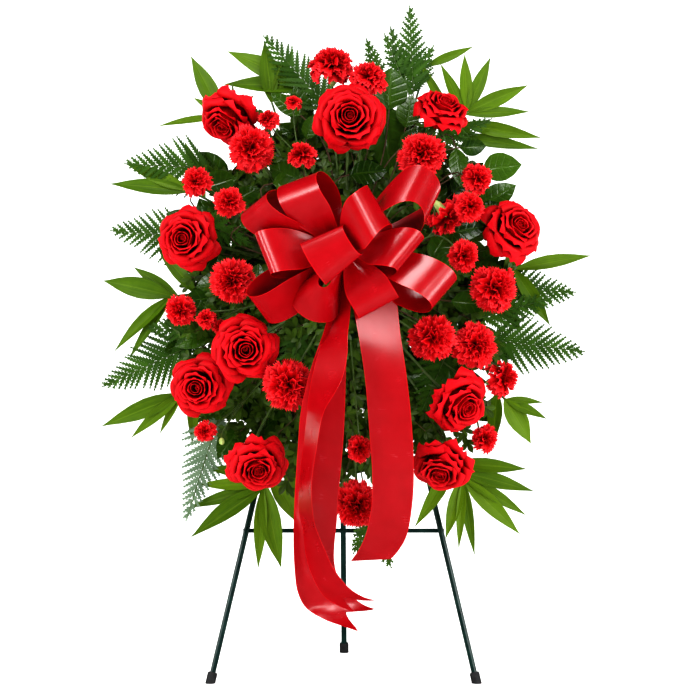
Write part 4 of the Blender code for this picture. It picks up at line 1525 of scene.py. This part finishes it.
satin, satin_tree, satin_shader = new_material("red_satin", Specular_IOR_Level=0.65)
weave = use_group(satin_tree, satin_group(), {"Threads": 900.0})
satin_colour = ramp(
    satin_tree,
    weave.outputs["Sheen"],
    ((0.25, (0.250, 0.0002, 0.0030)), (0.75, (0.315, 0.0004, 0.0060))),
)
edged_satin = blend(satin_tree, weave.outputs["Edge"], satin_colour, (0.420, 0.0015, 0.0040))
wire(satin_tree, edged_satin, satin_shader.inputs["Base Color"])
least_rough, rougher = SATIN_GLOSS
gloss = sums(satin_tree, "MULTIPLY_ADD", weave.outputs["Sheen"], rougher)
gloss.node.inputs[2].default_value = least_rough
wire(satin_tree, gloss, satin_shader.inputs["Roughness"])
relief(satin_tree, satin_shader, weave.outputs["Height"], 0.25, 0.0001)


def seen_from_front(x, z, front):
    """A step to the right, up and forward, as a vector of the room."""
    return np.array((x, -front, z), float)


def ease(share):
    """A step from 0 to 1 that starts and ends gently."""
    return share * share * (3 - 2 * share)


FULL_WIDTH_FROM = 0.72
LEAST_SKEW = 0.75
GATHER_DEPTH = 0.004


def ribbon_loop(forward, tip, across, opening, fan=0.0, steps=48, columns=8):
    """One loop, pinched so far forward: out on its front face, round its end, and back behind.

    The fold at the tip lies along `across`. `fan` makes the loop a cone instead of a tube.
    """
    root = knot + seen_from_front(0.0, 0.0, forward)
    way = seen_from_front(*tip) + knot - root
    ahead = unit(way)
    across = unit(seen_from_front(*across))
    lift = unit(np.cross(across, ahead))
    if lift[1] > 0:
        lift = -lift
    pinched = np.cross(ahead, lift)
    if np.dot(pinched, across) < 0:
        pinched = -pinched
    turns = np.linspace(0, 2 * math.pi, steps + 1)
    outs = (1 - np.cos(turns)) / 2
    sides = np.sin(turns) * np.sin(turns / 2) ** 2 / 0.65
    gaps = opening / 2 * sides + PINCH_OFFSET * np.cos(turns / 2)
    centres = root + np.outer(outs, way) + np.outer(gaps, lift)
    tangents = np.gradient(centres, axis=0)
    lengths = np.linalg.norm(tangents, axis=1)
    places = np.linspace(-1, 1, columns + 1)
    rows = []
    for turn, out, centre, tangent in zip(turns, outs, centres, tangents / lengths[:, None]):
        widen = ease(min(1.0, out / FULL_WIDTH_FROM))
        line = pinched * (1 - widen) + across * widen
        swing = fan * math.sin(turn) * widen
        line = unit(line * math.cos(swing) + lift * math.sin(swing))
        skew = max(LEAST_SKEW, np.linalg.norm(np.cross(line, tangent)))
        half = (PINCH_WIDTH + (RIBBON_WIDTH / skew - PINCH_WIDTH) * widen) / 2
        # Gathers fade out from the pinch.
        pleat = GATHER_DEPTH * (1 - widen) * np.cos(places * math.pi * 2)
        rows.append(centre + np.outer(places * half, line) + np.outer(pleat, lift))
    along = np.concatenate(([0.0], np.cumsum(np.linalg.norm(np.diff(centres, axis=0), axis=1))))
    across_share, along_share = np.meshgrid(places, along)
    return sheet(np.array(rows), tint_of(across_share, along_share, 0.5)), along[-1]


# Each loop: its layer, how far forward its pinch is, its tip (right, up and forward from the pinch),
# the way its fold lies, how wide it opens and, on some, how much it fans out.
LOOPS = {
    "upper_left_back": (1, 0.000, (-0.152, 0.077, 0.030), (0.60, 0.42, 0.68), 0.050),
    "lower_right_back": (1, 0.004, (0.168, -0.073, 0.030), (0.58, 0.66, -0.48), 0.060),
    "lower_left_back": (2, 0.008, (-0.146, -0.097, 0.030), (0.42, -0.58, -0.69), 0.048),
    "upper_right_back": (2, 0.012, (0.142, 0.099, 0.030), (0.36, 0.74, -0.57), 0.080),
    "left": (3, 0.018, (-0.136, -0.007, 0.050), (0.35, -0.88, 0.20), 0.042),
    "right": (3, 0.022, (0.110, -0.006, 0.060), (0.62, 0.76, -0.25), 0.040),
    "upper_left": (4, 0.026, (-0.077, 0.117, 0.050), (0.88, 0.30, 0.38), 0.068),
    "bottom": (4, 0.030, (0.058, -0.097, 0.055), (0.88, 0.47, 0.00), 0.035),
    "upper_right": (5, 0.034, (0.050, 0.070, 0.088), (0.50, -0.86, -0.05), 0.074, 0.10),
    "bottom_left": (5, 0.038, (-0.052, -0.088, 0.058), (-0.36, -0.68, -0.64), 0.049, 0.45),
    "centre": (6, 0.042, (-0.024, -0.006, 0.100), (0.85, 0.52, 0.00), 0.068, -0.17),
}
for name, (layer, *values) in LOOPS.items():
    band, length = ribbon_loop(*values)
    loop = make_piece(f"bow_loop_{name}", [band], [satin], RIBBON_THICKNESS)
    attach(loop, "stand")
    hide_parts(f"bow_layer_{layer}")

# ---------------------------------------------------------------- tails
# Three lengths of the same ribbon, tied in behind the loops and left to hang over the flowers. Two
# have a swallow-tail end and the right one is cut straight. Their ends curl.

# Each station: the middle of the ribbon (right, up and forward from the pinch), then the step from
# there to its edge, in the same three directions.
TAILS = {
    "right": (
        (0.018, -0.029, 0.002, 0.010, 0.000, 0.000),
        (0.034, -0.052, 0.010, 0.024, 0.003, -0.006),
        (0.049, -0.077, 0.018, 0.036, 0.006, -0.010),
        (0.060, -0.147, 0.027, 0.035, 0.003, -0.008),
        (0.070, -0.214, 0.029, 0.035, 0.003, -0.002),
        (0.078, -0.299, 0.028, 0.036, 0.002, 0.001),
        (0.082, -0.376, 0.028, 0.035, 0.000, 0.002),
        (0.080, -0.429, 0.027, 0.034, -0.002, 0.001),
        (0.072, -0.475, 0.022, 0.034, -0.003, -0.002),
        (0.059, -0.504, 0.014, 0.034, -0.001, -0.008),
        (0.045, -0.523, 0.006, 0.034, 0.001, -0.008),
    ),
    "left": (
        (-0.002, -0.030, 0.004, 0.010, 0.000, 0.002),
        (-0.003, -0.068, 0.014, 0.013, 0.000, 0.012),
        (-0.006, -0.105, 0.026, 0.016, 0.000, 0.022),
        (-0.012, -0.138, 0.044, 0.018, -0.002, 0.029),
        (-0.019, -0.174, 0.058, 0.024, -0.002, 0.025),
        (-0.028, -0.211, 0.066, 0.025, -0.002, 0.027),
        (-0.037, -0.238, 0.070, 0.021, -0.001, 0.031),
        (-0.048, -0.270, 0.072, 0.014, -0.001, 0.034),
        (-0.055, -0.317, 0.074, 0.012, 0.001, 0.035),
        (-0.064, -0.384, 0.074, 0.011, 0.001, 0.035),
        (-0.064, -0.433, 0.074, 0.012, 0.003, 0.035),
        (-0.058, -0.464, 0.072, 0.011, 0.005, 0.035),
        (-0.049, -0.500, 0.070, 0.016, 0.006, 0.033),
        (-0.037, -0.534, 0.066, 0.019, 0.007, 0.031),
        (-0.015, -0.569, 0.060, 0.021, 0.010, 0.030),
        (0.011, -0.587, 0.056, 0.020, 0.011, 0.030),
        (0.034, -0.595, 0.054, 0.018, 0.013, 0.030),
    ),
    "back": (
        (-0.010, -0.031, 0.000, 0.008, 0.000, 0.000),
        (-0.010, -0.067, 0.004, 0.012, 0.000, -0.006),
        (-0.011, -0.100, 0.010, 0.015, 0.001, -0.014),
        (-0.014, -0.134, 0.014, 0.020, 0.001, -0.016),
        (-0.027, -0.200, 0.020, 0.030, 0.001, -0.004),
        (-0.036, -0.270, 0.022, 0.037, 0.000, 0.000),
        (-0.040, -0.327, 0.022, 0.038, 0.000, 0.000),
        (-0.046, -0.403, 0.022, 0.037, 0.000, -0.001),
        (-0.049, -0.459, 0.022, 0.036, 0.000, -0.010),
        (-0.051, -0.501, 0.020, 0.034, 0.002, -0.015),
        (-0.050, -0.534, 0.016, 0.033, 0.006, -0.017),
        (-0.045, -0.563, 0.010, 0.034, 0.011, -0.011),
        (-0.032, -0.589, 0.002, 0.033, 0.014, -0.009),
        (-0.007, -0.608, -0.006, 0.027, 0.014, -0.022),
        (0.018, -0.620, -0.012, 0.018, 0.014, -0.030),
        (0.038, -0.627, -0.014, 0.015, 0.015, -0.031),
    ),
}
SWALLOW_TAIL = {"right": 0.0, "left": 0.040, "back": 0.040}


def along_stations(stations, share):
    """A smooth curve through the stations, and its values at a share of its length."""
    last = len(stations) - 1
    place = min(max(share, 0.0), 1.0) * last
    index = min(int(place), last - 1)
    inner = place - index
    before, start, end, after = (stations[min(max(index + step, 0), last)] for step in (-1, 0, 1, 2))
    bend = 2 * before - 5 * start + 4 * end - after
    twist = 3 * (start - end) + after - before
    return start + inner / 2 * (end - before + inner * (bend + inner * twist))


def ribbon_tail(stations, notch, rows=90, columns=10):
    """A hanging length of ribbon, its end cut square or as a swallow tail."""
    stations = np.array(stations)
    spine = np.array([seen_from_front(*station[:3]) for station in stations])
    steps = np.concatenate(([0.0], np.cumsum(np.linalg.norm(np.diff(spine, axis=0), axis=1))))
    shares = np.linspace(0, 1, len(stations))
    grid = []
    places = np.linspace(-1, 1, columns + 1)
    along_share = []
    for row in np.linspace(0, 1, rows + 1):
        line = []
        for place in places:
            length = row * (steps[-1] - notch * (1 - abs(place)))
            values = along_stations(stations, float(np.interp(length, steps, shares)))
            line.append(knot + seen_from_front(*(values[:3] + values[3:] * place)))
            along_share.append(length)
        grid.append(line)
    across_share = np.tile(places, (rows + 1, 1))
    along_share = np.array(along_share).reshape(across_share.shape)
    return sheet(np.array(grid), tint_of(across_share, along_share, 0.5)), steps[-1]


for name, stations in TAILS.items():
    band, length = ribbon_tail(stations, SWALLOW_TAIL[name])
    tail = make_piece(f"bow_tail_ribbon_{name}", [band], [satin], RIBBON_THICKNESS)
    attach(tail, "stand")
    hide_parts(f"bow_tail_{name}")

# ---------------------------------------------------------------- studio
# A plain white sweep of paper with soft boxes in front, above, at the sides and behind, and a camera
# that looks straight at the spray.

SWEEP_HALF_WIDTH = 7.0
SWEEP_FRONT = -6.0
SWEEP_BACK = 3.2
SWEEP_BEND = 1.2
SWEEP_HEIGHT = 5.0
floor_line = [(SWEEP_FRONT, 0.0)]
floor_line += [
    (SWEEP_BACK + SWEEP_BEND * math.sin(turn), SWEEP_BEND * (1 - math.cos(turn)))
    for turn in np.linspace(0.0, math.pi / 2, 13)
]
floor_line.append((SWEEP_BACK + SWEEP_BEND, SWEEP_HEIGHT))
sweep_grid = np.array([[(x, y, z) for x in (SWEEP_HALF_WIDTH, -SWEEP_HALF_WIDTH)] for y, z in floor_line])
paper, paper_tree, paper_shader = new_material(
    "white_paper",
    Roughness=0.9,
    Specular_IOR_Level=0.1,
    Emission_Color=(1.0, 1.0, 1.0, 1.0),
    Emission_Strength=0.35,
)
paper_grain = noise(paper_tree, object_place(paper_tree), 60.0, 3.0)
wire(
    paper_tree,
    ramp(paper_tree, paper_grain, ((0.0, (0.93, 0.93, 0.93)), (1.0, (0.96, 0.96, 0.96)))),
    paper_shader.inputs["Base Color"],
)
sweep = make_piece("studio_sweep", [sheet(sweep_grid, np.zeros_like(sweep_grid))], [paper])
sweep.visible_glossy = False

world = bpy.data.worlds.new("studio")
world.use_nodes = True
SKY_SEEN = 1.0
SKY_LIGHT = 0.42
SKY_MIRRORED = 0.02
sky = world.node_tree.nodes["Background"]
sky.inputs["Color"].default_value = (1.0, 1.0, 1.0, 1.0)
rays = world.node_tree.nodes.new("ShaderNodeLightPath")
strength = sums(world.node_tree, "MULTIPLY_ADD", rays.outputs["Is Camera Ray"], SKY_SEEN - SKY_LIGHT)
strength.node.inputs[2].default_value = SKY_LIGHT
mirrored = sums(world.node_tree, "MULTIPLY", rays.outputs["Is Glossy Ray"], SKY_LIGHT - SKY_MIRRORED)
wire(world.node_tree, sums(world.node_tree, "SUBTRACT", strength, mirrored), sky.inputs["Strength"])
bpy.context.scene.world = world


def soft_box(name, place, aim, width, height, power):
    """A soft light that points at a spot."""
    light = bpy.data.lights.new(name, "AREA")
    light.shape = "RECTANGLE"
    light.size = width
    light.size_y = height
    light.energy = power
    lamp = bpy.data.objects.new(name, light)
    bpy.context.scene.collection.objects.link(lamp)
    lamp.location = place
    lamp.rotation_euler = (Vector(aim) - Vector(place)).to_track_quat("-Z", "Y").to_euler()
    return lamp


LIT_SPOT = (0.0, -0.1, 0.7)

# Each soft box: where it stands, its width, its height and its power.
SOFT_BOXES = {
    "left_light": ((-2.0, -2.1, 1.8), 0.55, 1.4, 34.0),
    "left_strip": ((-2.6, -1.0, 1.2), 0.30, 1.8, 26.0),
    "right_light": ((2.1, -2.1, 1.6), 0.55, 1.4, 26.0),
    "right_strip": ((2.6, -0.9, 1.1), 0.30, 1.8, 22.0),
    "top_light": ((0.0, -1.1, 2.9), 1.8, 0.40, 30.0),
    "low_light": ((0.2, -2.3, 0.08), 1.6, 0.25, 14.0),
    "front_light": ((1.4, -2.6, 1.20), 0.5, 0.50, 10.5),
    "back_left_light": ((-2.2, 2.4, 1.0), 0.8, 1.6, 14.0),
    "back_right_light": ((2.2, 2.4, 1.0), 0.8, 1.6, 14.0),
}
for name, (place, width, height, power) in SOFT_BOXES.items():
    lamp = soft_box(name, place, LIT_SPOT, width, height, power)
    lamp.visible_glossy = name != "low_light"

view = bpy.context.scene.view_settings
view.view_transform = "Standard"
view.look = "High Contrast"

CAMERA_PLACE = (0.008, -3.86, 0.59)
CAMERA_LENS = 110.4
camera_data = bpy.data.cameras.new("camera")
camera_data.lens = CAMERA_LENS
camera_data.sensor_width = 36.0
camera = bpy.data.objects.new("camera", camera_data)
bpy.context.scene.collection.objects.link(camera)
camera.location = CAMERA_PLACE
camera.rotation_euler = (math.radians(90.0), 0.0, 0.0)
bpy.context.scene.camera = camera
